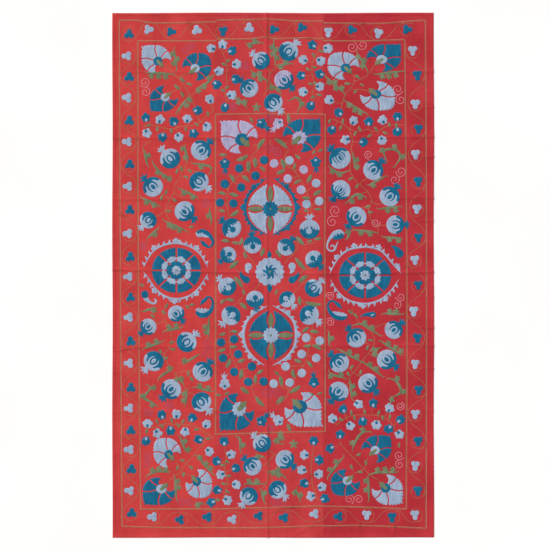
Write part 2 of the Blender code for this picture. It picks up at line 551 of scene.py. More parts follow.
def table(columns, text):
    """Rows of named values, with a semicolon between two rows; a value is a number or a word."""
    Row = namedtuple("Row", columns)
    rows = []
    for entry in text.split(";"):
        values = []
        for word in entry.split():
            try:
                values.append(float(word))
            except ValueError:
                values.append(word)
        rows.append(Row(*values))
    return rows


def path(text):
    """Points in order, each as its two numbers."""
    numbers = [float(word) for word in text.split()]
    return list(zip(numbers[::2], numbers[1::2]))


def courses(text):
    """Lines of points, with a semicolon between two lines; the points after a bar are kept apart."""
    return [[path(side) for side in (entry + "|").split("|")[:2]] for entry in text.split(";")]


# Motifs

def nearest_on_vines(x, y):
    """The nearest place on the vines, and the direction towards it."""
    place = min(vine_places, key=lambda point: math.dist(point, (x, y)))
    return place, bearing((x, y), place)


def trefoil(x, y, thread, lobes):
    """Three round leaves on one stalk, in the border."""
    ring = [(direction + rng.uniform(-8, 8), 1.2, 1.1136 * rng.uniform(0.9, 1.1)) for direction in lobes]
    lay(thread, placed(lobed(ring, 1.152), x, y))


def small_flower(x, y, thread, dot):
    """A flower of five to seven uneven petals; its stalk comes in through a dot at its edge."""
    joint, towards = nearest_on_vines(x, y)
    petals = rng.choice((5, 6, 6, 7))
    ring = []
    for k in range(petals):
        direction = towards + 360 * (k + 0.5) / petals + rng.uniform(-9, 9)
        ring.append((direction, 1.42 * rng.uniform(0.86, 1.1), 0.8 * rng.uniform(0.85, 1.12)))
    lay(thread, placed(lobed(ring, 1.74, 60), x, y))
    dot_place = placed([(1.0, 0)], x, y, towards)[0]
    lay(dot, placed(oval(0.78, 0.66, 16), *dot_place, towards), 1)
    edge = placed([(1.8, 0)], x, y, towards)[0]
    if math.dist(edge, joint) > 0.8:
        aside = bent_middle(edge, joint, rng.choice((-0.14, 0.14)))
        chain("vine", [edge, aside, joint], 0.17)


def crowned_flower(x, y, thread, dot, crown, dot_side):
    """A small flower with a forked tuft on a short neck on one side, and a dot on the other."""
    start = compass(dot_side)
    ring = [(start + 72 * k, 1.5, 0.98) for k in range(5)]
    crown_angle = compass(crown)
    fork = placed([(2.4, 0)], x, y, crown_angle)[0]
    tuft = [stroke([(x, y), fork], lambda t: 0.95, 0.4)]
    for spread, reach in ((-34, 2.6), (0, 3.1), (34, 2.6)):
        tip = placed([(reach, 0)], *fork, crown_angle + spread)[0]
        tuft.append(thorn(fork, tip, 1.15))
    lay(thread, [placed(lobed(ring, 1.45), x, y)] + tuft)
    dot_place = placed([(0.85, 0)], x, y, start)[0]
    lay(dot, placed(oval(0.7, 0.62, 12), *dot_place), 1)


def fan_reach(angle, power, ends):
    """How far a fan reaches, from 1 on its sides: squared at its corner, and shorter towards its ends."""
    far = abs(angle)
    if far < 45:
        return squared(45 + angle, power)
    if far < 89:
        return between(1.0, 0.88, (far - 45) / 44)
    return between(0.88, ends, min(1.0, (far - 89) / 46))


# The petals of a fan, by angles from the way it opens: how each side bows, and how it leans at the heart
FanPetal = namedtuple("FanPetal", "start end scallops bows leans")
FAN = (FanPetal(-135, -89, 4, (9, 6), (12, -5)), FanPetal(-89, -37, 5, (6, 6), (-5, 0)),
       FanPetal(-37, 37, 8, (6, -6), (0, 0)), FanPetal(37, 89, 5, (-6, -6), (0, 5)),
       FanPetal(89, 135, 4, (-6, -9), (5, -12)))


def carnation(x, y, opens, thread, heart, reach_x, reach_y, power, ends, scalloped_heart):
    """A fan of five scalloped petals round a heart, with a green cup towards the stem."""
    angle = compass(opens)
    core = 0.32 if reach_x + reach_y > 17 else 0.27

    def sized(points):
        return [(px * reach_x + x, py * reach_y + y) for px, py in turned(points, angle)]

    for part in FAN:
        outline = petal(core * 0.8, lambda a: fan_reach(a, power, ends), part.start, part.end,
                        part.scallops, 0.034, part.bows, part.leans)
        lay(thread, sized(outline))
    corner = fan_reach(0, power, ends)
    if power > 5:
        hook = thorn((corner * 0.88, -0.02), (corner * 1.06, 0.05), 0.16)
        lay(thread, sized(hook))
    if scalloped_heart:
        lay(heart, sized(rosette(core * 1.1, 10)), 1)
    else:
        lay(heart, sized(oval(core, core * 1.06)), 1)
    wide = core * (reach_x + reach_y) / 2
    root, stem_end, cup_middle = sized([(0.12, 0), (-0.52, 0), (-0.22, 0)])
    cup = [stroke([root, stem_end],
                  lambda t: wide * 0.86 * math.sin(math.pi * min(1.0, 0.1 + 0.88 * t)) ** 0.7)]
    for hand in (-1, 1):
        cup.append(thorn(cup_middle, sized([(-0.36, hand * 0.2)])[0], wide * 0.5))
    lay("green", cup, 2)


# Where a fruit's two threads meet, from its axis out to its rim, in parts of its half width and radius.
# The first has small waves, the second bowed fingers on each side of the seed, and the third finer ones.
COMBS = (
    path("0 0.24 0.1 0.26 0.22 0.3 0.3 0.1 0.37 -0.03 0.43 0.04 0.48 0.2 0.53 0.04 0.62 -0.09 0.7 -0.06"
         " 0.77 0.1 0.84 -0.04 0.995 -0.06"),
    path("0 0.43 0.13 0.41 0.27 0.26 0.34 0.02 0.32 -0.2 0.24 -0.42 0.38 -0.34 0.48 -0.12 0.51 0.1"
         " 0.48 0.3 0.4 0.54 0.6 0.42 0.7 0.2 0.82 0.08 0.985 0.08"),
    path("0 0.36 0.1 0.34 0.19 0.2 0.23 0 0.21 -0.22 0.15 -0.42 0.27 -0.3 0.34 -0.08 0.34 0.12 0.27 0.48"
         " 0.41 0.32 0.46 0.1 0.46 -0.1 0.42 -0.32 0.55 -0.14 0.6 0.06 0.58 0.24 0.5 0.5 0.68 0.34"
         " 0.82 0.12 0.985 0.06"),
)


def fruit_cap(radius, wide, comb):
    """The crown side of a fruit: it hugs the rim, and its lower edge is the comb and its mirror image."""
    reach = math.degrees(math.acos(comb[-1][1]))
    cap = []
    for step in range(31):
        swing = math.radians(90 + between(-reach, reach, step / 30))
        cap.append((wide * 1.012 * math.cos(swing), radius * 1.012 * math.sin(swing)))
    edge = [(-across, level) for across, level in comb[::-1]] + list(comb[1:])
    edge = [(wide * 0.98 * across, radius * level) for across, level in edge]
    return cap + smooth_line(edge, 0.22)


def pomegranate(x, y, crown, near, far, radius, comb):
    """A round fruit in two threads that reach into each other, with a seed and a small spiky crown."""
    angle = compass(crown) - 90 + rng.uniform(-7, 7)
    wide = radius * 1.05
    lay(far, placed(oval(wide, radius, 40), x, y, angle))
    lay(near, placed(fruit_cap(radius, wide, COMBS[comb]), x, y, angle), 1)
    lean = rng.uniform(-0.06, 0.06) * radius
    if comb == 0:
        seed = [placed(oval(0.32 * radius, 0.33 * radius, 20), lean, -0.18 * radius),
                stroke([(0, 0.4 * radius), (lean, 0.0)], lambda t: 0.28 * radius, 0.4)]
    else:
        slim = 0.2 if comb == 1 else 0.13
        seed = [placed(oval(slim * radius, 0.31 * radius, 20), lean, 0.0)]
    lay(near, [placed(shape, x, y, angle) for shape in seed], 2)
    neck = [(-0.17 * radius, 0.88 * radius), (0.17 * radius, 0.88 * radius),
            (0.14 * radius, 1.25 * radius), (-0.14 * radius, 1.25 * radius)]
    crown_shapes = [placed(neck, x, y, angle)]
    for spread in (-62, -22, 20, 60):
        swing = math.radians(90 + spread + rng.uniform(-6, 6))
        root = (0.0, 1.12 * radius)
        tip = (0.62 * radius * math.cos(swing), (1.12 + 0.62 * math.sin(swing)) * radius)
        crown_shapes.append(placed(thorn(root, tip, 0.38 * radius), x, y, angle))
    lay(near, crown_shapes)


def berry(x, y, thread):
    """A plain round berry, a little uneven."""
    radius = 1.95
    lay(thread, placed(oval(radius, radius * rng.uniform(0.94, 1.02), 22), x, y, rng.uniform(0, 180)))


def curl(x, y, thread, start, hand):
    """A tendril of one chain-stitch row wound up in a spiral."""
    turns = 1.7
    chain(thread, spiral(x, y, 1.95, turns, start + hand * 360 * turns, hand), 0.26, 0.4)


def spiral(x, y, radius, turns, end, hand):
    """A spiral wound outward to an end in the direction of an angle."""
    count = int(turns * 12)
    points = []
    for step in range(count + 1):
        share = step / count
        reach = radius * between(0.16, 1.0, share ** 0.9)
        points += moved([polar(reach, end - hand * 360 * turns * (1 - share))], x, y)
    return points


def scroll(x1, y1, x2, y2, thread, hand):
    """Two spirals that touch, wound opposite ways; the second one's row runs on as a short tail."""
    towards = bearing((x1, y1), (x2, y2))
    radius = max(1.6, min(2.4, math.dist((x1, y1), (x2, y2)) * 0.49))
    first = spiral(x1, y1, radius, 1.35, towards + hand * 16, -hand)
    second = spiral(x2, y2, radius, 1.35, towards + 180 - hand * 16, hand)
    heading = towards + 180 + hand * 74
    tail = placed([(0.9, 0.1 * hand), (1.8, 0.0), (2.7, -0.3 * hand)], *second[-1], heading)
    chain(thread, first + [second[-1]], 0.24, 0.4)
    chain(thread, second + tail, 0.24, 0.4)


def sprig(spine, lobes):
    """A long curled leaf: a slim blade with curled ends, and fat notched lobes that hook forward."""
    line = smooth_line(spine, 0.5)
    shapes = [stroke(spine, leaf_width(1.2), 0.5)]
    lobes = lobes or lobes_along(line)
    for lobe in lobes:
        nearest = min(line, key=lambda point: math.dist(point, lobe))
        facing = bearing(nearest, lobe)
        middle = between(nearest[0], lobe[0], 0.5), between(nearest[1], lobe[1], 0.5)
        shapes.append(placed(oval(1.12, 0.92, 16), *middle, facing))
        for spread, reach, size in ((-74, 1.05, 0.46), (-18, 1.25, 0.5), (40, 1.15, 0.48)):
            bump = placed([(reach, 0)], *middle, facing + spread)[0]
            shapes.append(placed(oval(size, size, 12), *bump))
        opposite = placed([(-1.0, 0.95)], *middle, facing)[0]
        shapes.append(thorn(nearest, opposite, 0.85))
    midway = line[len(line) // 2]
    facing = (lobes[0][0] - midway[0], lobes[0][1] - midway[1])
    for end, before, away in ((line[0], line[2], -1), (line[-1], line[-3], 1)):
        heading = bearing(before, end)
        ahead_x, ahead_y = polar(1.0, heading)
        side = math.copysign(1, facing[1] * ahead_x - facing[0] * ahead_y) * away
        hook = [(-0.8, 0), (0.0, 0.1 * side), (0.5, 0.5 * side), (0.5, 1.0 * side)]
        shapes.append(stroke(placed(hook, *end, heading), lambda t: between(0.55, 0.16, t), 0.4))
    lay("green", shapes)


def lobes_along(line):
    """Lobes first on one side of a leaf and then on the other, about 2.7 cm apart."""
    lobes = []
    count = max(1, int(len(line) * 0.5 / 2.7))
    for index in range(count):
        place = int(between(0.35, 0.9, index / count) * (len(line) - 2))
        at, ahead = line[place], line[place + 1]
        run = math.dist(at, ahead) or 1.0
        side = 1 if index % 2 else -1
        out_x, out_y = -(ahead[1] - at[1]) / run, (ahead[0] - at[0]) / run
        lobes.append((at[0] + out_x * side * 1.2, at[1] + out_y * side * 1.2))
    return lobes


def leaf(x, y):
    """One small plain leaf on its side stalk."""
    joint, towards = nearest_on_vines(x, y)
    angle = towards + rng.uniform(-32, 32)
    root, tip = placed([(-1.2, 0), (1.2, 0)], x, y, angle)
    middle = bent_middle(root, tip, rng.uniform(-0.14, 0.14))
    lay("green", stroke([root, middle, tip], leaf_width(1.15), 0.4))
    if 0.6 < math.dist(tip, joint) < 7:
        aside = bent_middle(tip, joint, rng.choice((-0.12, 0.12)))
        chain("vine", [tip, aside, joint], 0.16)


def thorny_arc(points, thread, width, thorns, buds, side, thorn_width):
    """A crescent with a smooth inner edge, and thorns and clover buds on its outer one."""
    line = smooth_line(points, 0.5)
    shapes = [stroke(points, lambda t: width * math.sin(math.pi * min(1, max(0, t))) ** 0.6 + 0.1, 0.6)]

    def beside(share, out, along):
        index = min(len(line) - 2, max(1, int(share * (len(line) - 1))))
        here, ahead = line[index], line[index + 1]
        run = math.dist(here, ahead) or 1.0
        step_x, step_y = (ahead[0] - here[0]) / run, (ahead[1] - here[1]) / run
        return here[0] - step_y * side * out + step_x * along, here[1] + step_x * side * out + step_y * along

    for share, length in thorns:
        lean = 0.45 if share < 0.5 else -0.45
        tip = beside(share, length, length * lean)
        shapes.append(thorn(beside(share, 0, 0), tip, thorn_width))
    for share, size in buds:
        lean = 0.35 if share < 0.5 else -0.35 if share > 0.5 else 0.0
        stalk = [beside(share, 0, 0), beside(share, 1.2 * size, lean)]
        shapes.append(stroke(stalk, lambda t: 1.0 * size, 0.4))
        for aside, out in ((-0.85, 0.95), (0.0, 1.6), (0.85, 0.95)):
            spot = beside(share, out * size, (aside + lean) * size)
            shapes.append(placed(oval(0.58 * size, 0.54 * size, 14), *spot))
            shapes.append(stroke([beside(share, 0.8 * size, lean * size), spot], lambda t: 0.7 * size, 0.4))
    lay(thread, shapes)


def banded(points, widths):
    """A band along a smooth line, through widths set at even steps along it."""
    def width_at(t):
        place = min(len(widths) - 1.001, t * (len(widths) - 1))
        index = int(place)
        return between(widths[index], widths[index + 1], place - index)
    return stroke(points, width_at, 0.4)


# A boteh is a band with its widths, a leaf at its tail and a patch on its head, each with its own
Boteh = namedtuple("Boteh", "thread body widths leaf leaf_widths patch_thread patch patch_widths bumps")


def boteh(form):
    """A hooked pear shape: a fat head whose tail curls round to a leaf, with a bumpy patch on the head."""
    lay(form.thread, [banded(form.body, form.widths), banded(form.leaf, form.leaf_widths)])
    bumps = [placed(oval(0.5, 0.5, 12), *bump) for bump in form.bumps]
    lay(form.patch_thread, [banded(form.patch, form.patch_widths)] + bumps, 1)


# From ruler centimetres to closed meshes that lie on the folds of the cloth

def to_cloth(points):
    """Ruler centimetres as metres on the cloth."""
    return (np.asarray(points, dtype=float) - RULER_MIDDLE) * CM


def clearance(points, starts, ends):
    """How far each point lies from the nearest of some straight edges."""
    edge = ends - starts
    square = np.maximum((edge ** 2).sum(axis=1), 1e-14)
    offset = points[:, None, :] - starts[None]
    share = np.clip((offset * edge).sum(axis=2) / square, 0.0, 1.0)
    gap = offset - share[..., None] * edge
    return np.sqrt((gap ** 2).sum(axis=2)).min(axis=1)


def inner_points(rings, starts, ends):
    """Points inside a pad: a ring just in from its edge, and a scatter further in."""
    near = []
    for ring in rings:
        run = np.roll(ring, -1, axis=0) - np.roll(ring, 1, axis=0)
        size = np.maximum(np.sqrt((run ** 2).sum(axis=1)), 1e-9)
        inward = np.stack((-run[:, 1], run[:, 0]), axis=1) / size[:, None]
        near.append(ring + inward * RIM_ROUNDING * 0.45)
    near = np.concatenate(near)
    near = near[clearance(near, starts, ends) > RIM_ROUNDING * 0.35]
    low, high = starts.min(axis=0), starts.max(axis=0)
    scatter = []
    count_x = int((high[0] - low[0]) / PAD_STEP) + 1
    count_y = int((high[1] - low[1]) / PAD_STEP) + 1
    for row in range(count_y):
        for column in range(count_x):
            nudge = 0.5 * (row % 2)
            scatter.append((low[0] + (column + nudge + rng.uniform(-0.15, 0.15)) * PAD_STEP,
                            low[1] + (row + 0.5 + rng.uniform(-0.15, 0.15)) * PAD_STEP))
    scatter = np.array(scatter)
    scatter = scatter[clearance(scatter, starts, ends) > RIM_ROUNDING]
    return np.concatenate((near, scatter))


def turned_left(ring):
    """The outline with its inside on the left."""
    following = np.roll(ring, -1, axis=0)
    area = (ring[:, 0] * following[:, 1] - following[:, 0] * ring[:, 1]).sum()
    return ring if area > 0 else ring[::-1]


def twice_area(points, a, b, c):
    """Twice a triangle's area, below zero where it faces down."""
    return ((points[b][0] - points[a][0]) * (points[c][1] - points[a][1])
            - (points[c][0] - points[a][0]) * (points[b][1] - points[a][1]))


def filled_face(outlines):
    """The grown-together outlines filled with triangles, as flat points, triangles and rim edges."""
    rings = [turned_left(to_cloth(outline)) for outline in outlines]
    starts = np.concatenate(rings)
    ends = np.concatenate([np.roll(ring, -1, axis=0) for ring in rings])
    edges = []
    first = 0
    for ring in rings:
        count = len(ring)
        edges += [(first + k, first + (k + 1) % count) for k in range(count)]
        first += count
    inner = inner_points(rings, starts, ends)
    places = [Vector(place) for place in np.concatenate((starts, inner)).tolist()]
    filled = delaunay_2d_cdt(places, edges, [], FILL_INSIDE, FACE_WELD)
    flat = np.array([tuple(place) for place in filled[0]])
    triangles = []
    for a, b, c in filled[2]:
        area = twice_area(flat, a, b, c)
        if abs(area) > SLIVER:
            triangles.append((a, b, c) if area > 0 else (a, c, b))
    used = sorted({index for triangle in triangles for index in triangle})
    renumbered = {old: new for new, old in enumerate(used)}
    triangles = [tuple(renumbered[index] for index in triangle) for triangle in triangles]
    rim = {}
    for triangle in triangles:
        for a, b in zip(triangle, triangle[1:] + triangle[:1]):
            if (b, a) in rim:
                del rim[(b, a)]
            else:
                rim[(a, b)] = True
    return flat[used], triangles, list(rim)


def filled_back(flat, rim):
    """The area inside the rim edges filled with triangles that face down."""
    places = [Vector(place) for place in flat.tolist()]
    filled = delaunay_2d_cdt(places, rim, [], FILL_INSIDE, BACK_WELD)
    triangles = []
    for triangle in filled[2]:
        a, b, c = (filled[3][index][0] for index in triangle)
        triangles.append((a, c, b) if twice_area(flat, a, b, c) > 0 else (a, b, c))
    return triangles


def stitched_pad(outlines, layer):
    """One filled pad, through the cloth from its domed face to its flat back, as points and faces."""
    flat, triangles, rim = filled_face(outlines)
    ends = np.array(rim)
    depth = clearance(flat, flat[ends[:, 0]], flat[ends[:, 1]])
    full = np.sqrt(1.0 - (1.0 - np.clip(depth / RIM_ROUNDING, 0.0, 1.0)) ** 2)
    uneven = np.array([rng.uniform(-SILK_UNEVENNESS, SILK_UNEVENNESS) for _ in range(len(flat))])
    lie = bridged(flat[:, 0], flat[:, 1])
    top = lie + between(SILK_RIM, SILK_FACE, full) + uneven * full + layer * SILK_LAYER
    count = len(flat)
    on_rim = sorted({index for edge in rim for index in edge})
    order = {index: place for place, index in enumerate(on_rim)}
    back_flat = flat[on_rim]
    back = lift(back_flat[:, 0], back_flat[:, 1]) + SILK_BACK - layer * SILK_BACK_LAYER
    points = [(x, y, z) for (x, y), z in zip(flat.tolist(), top.tolist())]
    points += [(x, y, z) for (x, y), z in zip(back_flat.tolist(), back.tolist())]
    back_rim = [(order[a], order[b]) for a, b in rim]
    faces = list(triangles)
    faces += [tuple(index + count for index in triangle) for triangle in filled_back(back_flat, back_rim)]
    faces += [(count + order[a], count + order[b], b, a) for a, b in rim]
    return points, faces


def tube_faces(sections, around):
    """The faces of a closed tube of some sections, each with as many points around."""
    faces = []
    for k in range(sections - 1):
        for side in range(around):
            beside = (side + 1) % around
            faces.append((k * around + side, k * around + beside,
                          (k + 1) * around + beside, (k + 1) * around + side))
    faces.append(tuple(range(around))[::-1])
    faces.append(tuple((sections - 1) * around + side for side in range(around)))
    return faces


def chained_row(line, width):
    """A row of chain stitch: links that are wide in the middle and narrow where they join."""
    path_points = to_cloth(line)
    steps = np.sqrt((np.diff(path_points, axis=0) ** 2).sum(axis=1))
    lengths = np.concatenate(([0.0], np.cumsum(steps)))
    count = max(2, int(round(lengths[-1] / (LINK / 2))))
    along = np.linspace(0.0, lengths[-1], count + 1)
    x = np.interp(along, lengths, path_points[:, 0])
    y = np.interp(along, lengths, path_points[:, 1])
    run_x, run_y = np.gradient(x), np.gradient(y)
    size = np.maximum(np.hypot(run_x, run_y), 1e-9)
    out_x, out_y = -run_y / size, run_x / size
    joint = np.arange(count + 1) % 2 == 0
    half = width * CM / 2 * np.where(joint, 0.68, 1.12)
    crest = np.where(joint, LINK_JOINT, LINK_CREST)
    profile = ((1.0, LINK_EDGE), (0.0, None), (-1.0, LINK_EDGE), (0.0, LINK_BACK))
    rings = []
    for across, height in profile:
        px, py = x + out_x * half * across, y + out_y * half * across
        level = bridged(px, py) + crest if height is None else lift(px, py) + height
        rings.append(np.stack((px, py, level), axis=1))
    points = np.stack(rings, axis=1).reshape(-1, 3).tolist()
    return points, tube_faces(count + 1, len(profile))


def sewing_stitch(x, y, angle, length, width, face):
    """One short stitch of sewing thread that rises out of the cloth and dives back in."""
    profile = ((-0.5, 0.5, -THREAD_DIVE), (0.0, 1.0, THREAD_RISE), (0.5, 0.5, -THREAD_DIVE))
    cosine, sine = math.cos(angle), math.sin(angle)
    places, heights = [], []
    for along, wide, rise in profile:
        for across, up in ((1.0, 0), (0.6, 1), (-0.6, 1), (-1.0, 0)):
            places.append((x + cosine * along * length - sine * across * wide * width / 2,
                           y + sine * along * length + cosine * across * wide * width / 2))
            heights.append(face + (rise if up else -THREAD_DEPTH))
    places = np.array(places)
    level = lift(places[:, 0], places[:, 1]) + np.array(heights)
    moved_x, moved_y = wandered(places[:, 0], places[:, 1])
    points = np.stack((moved_x, moved_y, level), axis=1).tolist()
    return points, tube_faces(len(profile), 4)


# Stitches of the same red thread: slip stitches along the hems, whip stitches over the two seams
HEM_STITCH_GAP = 0.0090
HEM_STITCH_LENGTH = 0.0038
SEAM_STITCH_GAP = 0.0055
SEAM_STITCH_LENGTH = 0.0034


def hem_stitches():
    """Slip stitches along each hem, 1.5 mm in from its inner side."""
    parts = []
    inner = HEM_WIDTH - 0.0015
    for across, length in ((True, WIDTH), (False, LENGTH)):
        for side in (-1, 1):
            edge = side * ((LENGTH if across else WIDTH) / 2 - inner)
            for index in range(int((length - 4 * inner) / HEM_STITCH_GAP)):
                along = -length / 2 + 2 * inner + index * HEM_STITCH_GAP + rng.uniform(-0.0008, 0.0008)
                place = (along, edge) if across else (edge, along)
                angle = rng.uniform(-0.3, 0.3) + (0.0 if across else math.pi / 2)
                parts.append(sewing_stitch(*place, angle, HEM_STITCH_LENGTH, 0.0007, HEM_FACE))
    return parts


def seam_stitches():
    """Whip stitches aslant over the two seams, pulled a little into the cloth."""
    parts = []
    for seam in (SEAM_LEFT_X, SEAM_RIGHT_X):
        for index in range(int((LENGTH - 0.008) / SEAM_STITCH_GAP)):
            y = -LENGTH / 2 + 0.005 + index * SEAM_STITCH_GAP + rng.uniform(-0.0005, 0.0005)
            face = (HEM_FACE if abs(y) > LENGTH / 2 - HEM_WIDTH else CLOTH_FACE) - 0.0002
            slant = 0.55 + rng.uniform(-0.1, 0.1)
            parts.append(sewing_stitch(seam, y, slant, SEAM_STITCH_LENGTH, 0.0008, face))
    return parts


def new_piece(mesh, material, sharpest):
    """An object of a mesh, smooth but for its sharp edges; it is part of the object's one body."""
    mesh.shade_smooth()
    mesh.set_sharp_from_angle(angle=math.radians(sharpest))
    mesh.materials.append(material)
    piece = bpy.data.objects.new(mesh.name, mesh)
    bpy.context.scene.collection.objects.link(piece)
    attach(piece, "root")
    return piece


def joined(name, parts, material):
    """Many small closed forms as one piece."""
    points, faces = [], []
    for part_points, part_faces in parts:
        first = len(points)
        points += part_points
        faces += [tuple(index + first for index in face) for face in part_faces]
    mesh = bpy.data.meshes.new(name)
    mesh.from_pydata(points, [], faces)
    mesh.validate()
    piece = new_piece(mesh, material, 70)
    return piece


def even_steps(lines, step):
    """The lines in order, each as its two end values, with more put in where they lie far apart."""
    ordered = sorted(lines, key=sum)
    result = [ordered[0]]
    for line in ordered[1:]:
        before = result[-1]
        widest = max(line[0] - before[0], line[1] - before[1])
        if widest < 0.0004:
            continue
        count = max(1, math.ceil(widest / step - 0.2))
        for index in range(1, count + 1):
            share = index / count
            result.append((between(before[0], line[0], share), between(before[1], line[1], share)))
    return result


# Rows and columns of points beside an outer edge and a seam, by how far in they lie
EDGE_OFFSETS = (0.0, 0.0007, TURNED_WIDTH, 0.0045, HEM_WIDTH - HEM_STEP, HEM_WIDTH,
                HEM_WIDTH + HEM_STEP, HEM_WIDTH * 1.6)
SEAM_OFFSETS = (0.0, 0.0010, DIP_WIDTH, 0.0060)

# How far from a bowed crest the rows of points still move with it
BOW_REACH = 0.075


def fold_offsets(half_width):
    """Rows or columns of points close enough for a fold, by how far they lie from its crest."""
    count = int(half_width / FOLD_STEP) + 1
    return [half_width * k / count for k in range(-count, count + 1)]


def cloth_rows(with_puckers):
    """Rows of points from the bottom end to the top one, each as its y on the left and right edges."""
    lines = []
    for offset in EDGE_OFFSETS:
        lines += [(-LENGTH / 2 + offset,) * 2, (LENGTH / 2 - offset,) * 2]
    for fold in CROSS_FOLDS:
        lines += [(fold.left_y + offset, fold.right_y + offset) for offset in fold_offsets(fold.half_width)]
    if with_puckers:
        for pucker in PUCKERS:
            lines += [(pucker.y + offset,) * 2 for offset in fold_offsets(pucker.half_width)]
    return even_steps(lines, PLAIN_STEP)


def cloth_columns(left_x, right_x):
    """Columns of points from left to right, each as its x on the bottom and top ends."""
    left_offsets = EDGE_OFFSETS if left_x < -WIDTH / 2 + 0.001 else SEAM_OFFSETS
    right_offsets = EDGE_OFFSETS if right_x > WIDTH / 2 - 0.001 else SEAM_OFFSETS
    lines = [(left_x + offset,) * 2 for offset in left_offsets]
    lines += [(right_x - offset,) * 2 for offset in right_offsets]
    if left_x < LONG_FOLD.top_x < right_x:
        offsets = fold_offsets(LONG_FOLD.half_width)
        lines += [(LONG_FOLD.bottom_x + offset, LONG_FOLD.top_x + offset) for offset in offsets]
    return even_steps(lines, PLAIN_STEP)


def bowed_with_folds(x, y):
    """Moves the rows of points beside a fold along with its crest where that strays."""
    for fold in CROSS_FOLDS:
        away = np.abs(y - between(fold.left_y, fold.right_y, x / WIDTH + 0.5))
        share = np.clip((BOW_REACH - away) / (BOW_REACH - fold.half_width), 0.0, 1.0)
        y = y + strayed(fold.bow, x) * share
    return y


def cloth_points(rows, columns):
    """The points of a loom length, first those of its face and then those of its underside."""
    flat = []
    for left_y, right_y in rows:
        for bottom_x, top_x in columns:
            x = between(bottom_x, top_x, (left_y + right_y) / 2 / LENGTH + 0.5)
            flat.append((x, between(left_y, right_y, x / WIDTH + 0.5)))
    flat = np.array(flat)
    x, y = flat[:, 0], bowed_with_folds(flat[:, 0], flat[:, 1])
    to_edge = np.minimum(LENGTH / 2 - np.abs(y), WIDTH / 2 - np.abs(x))
    hem = np.clip((HEM_WIDTH + HEM_STEP - to_edge) / (2 * HEM_STEP), 0.0, 1.0)
    hem = hem * hem * (3 - 2 * hem)
    turned_edge = np.clip(1 - to_edge / TURNED_WIDTH, 0.0, 1.0) ** 2
    to_seam = np.minimum(np.abs(x - SEAM_LEFT_X), np.abs(x - SEAM_RIGHT_X))
    dip = np.clip(1 - to_seam / DIP_WIDTH, 0.0, 1.0) ** 1.5
    puckered = 0.00012 * np.sin(2 * np.pi * (x + y) / 0.037) * np.sin(2 * np.pi * (x - y) / 0.051)
    lie = lift(x, y)
    face = lie + between(CLOTH_FACE, HEM_FACE, hem) - 0.0008 * turned_edge - 0.0005 * dip + puckered * hem
    under = lie + between(CLOTH_UNDER, HEM_UNDER, hem) + 0.0005 * turned_edge + 0.0002 * dip
    x, y = wandered(x, y)
    return np.concatenate((np.stack((x, y, face), axis=1), np.stack((x, y, under), axis=1))).tolist()


def cloth_faces(height, width):
    """The faces of a sheet with a grid of points on its face, and as many on its underside."""
    below = width * height
    faces = []
    for row in range(height - 1):
        for column in range(width - 1):
            corner = row * width + column
            faces.append((corner, corner + 1, corner + width + 1, corner + width))
            faces.append((corner + below + width, corner + below + width + 1,
                          corner + below + 1, corner + below))
    rim = list(range(width - 1))
    rim += [row * width + width - 1 for row in range(height - 1)]
    rim += [(height - 1) * width + column for column in range(width - 1, 0, -1)]
    rim += [row * width for row in range(height - 1, 0, -1)]
    faces += [(a + below, b + below, b, a) for a, b in zip(rim, rim[1:] + rim[:1])]
    return faces


def cloth_length(name, node, left_x, right_x, material):
    """One loom length as a thin closed sheet, with its doubled hems, on the folds of its solid."""
    rows = cloth_rows(right_x > WIDTH / 2 - 0.001)
    columns = cloth_columns(left_x, right_x)
    mesh = bpy.data.meshes.new(name)
    mesh.from_pydata(cloth_points(rows, columns), [], cloth_faces(len(rows), len(columns)))
    piece = new_piece(mesh, material, 60)
    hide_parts(node)
    return piece


# The embroidery, motif by motif, in ruler centimetres

# The border's trefoils: first those of the top end, with the directions of their three lobes in degrees
TREFOILS = table("x y thread first second third", """
-63.6 106.3 blue 90 215 325; -55 108.3 pale 120 225 0; -45 107.2 blue 120 225 0;
-33.8 108 pale 95 355 225; -22.2 107.6 blue 135 45 270; -10.8 109 pale 95 325 215;
0.3 108.3 blue 130 225 0; 12.5 109.2 blue 130 225 0; 24 107.2 pale 135 45 270; 34.6 108.2 blue 130 225 0;
46 106.7 pale 130 20 270; 58.8 108.3 blue 130 225 0; -53.3 -106 pale 180 55 305;
-41.2 -107.3 blue 180 55 305; -29.2 -106.1 blue 180 55 305; -18.1 -107.1 pale 180 55 305;
-6.7 -105.6 blue 180 55 305; 4.4 -106.4 blue 180 55 305; 17.9 -104.9 pale 180 55 305;
28.6 -105.9 blue 180 55 305; 40.9 -105.2 pale 135 45 270; 52.2 -106.2 blue 135 45 270;
62.2 -105.2 pale 135 45 270
""")
TOP_TREFOILS = 12
LEFT_BORDER_YS = (96.7, 87.4, 78.3, 68.2, 58.9, 48.9, 39.3, 28.9, 18.6, 8.2, -0.4, -9.5, -18.3,
                  -28.9, -38.5, -49.2, -58.3, -68.0, -76.4, -85.1, -94.5, -104.4)
RIGHT_BORDER = table("x y", """
61.2 99; 63.2 88.2; 62.3 75.6; 63.6 64.6; 62.5 53.4; 63.6 41.4; 63 29.4; 63.6 16.8; 62.1 6.9; 63.6 -4;
61.7 -15.6; 63.2 -27.3; 62.3 -38.9; 63.8 -50.3; 62.3 -60.8; 63.6 -72.8; 62.3 -83.5; 63.4 -94.6
""")

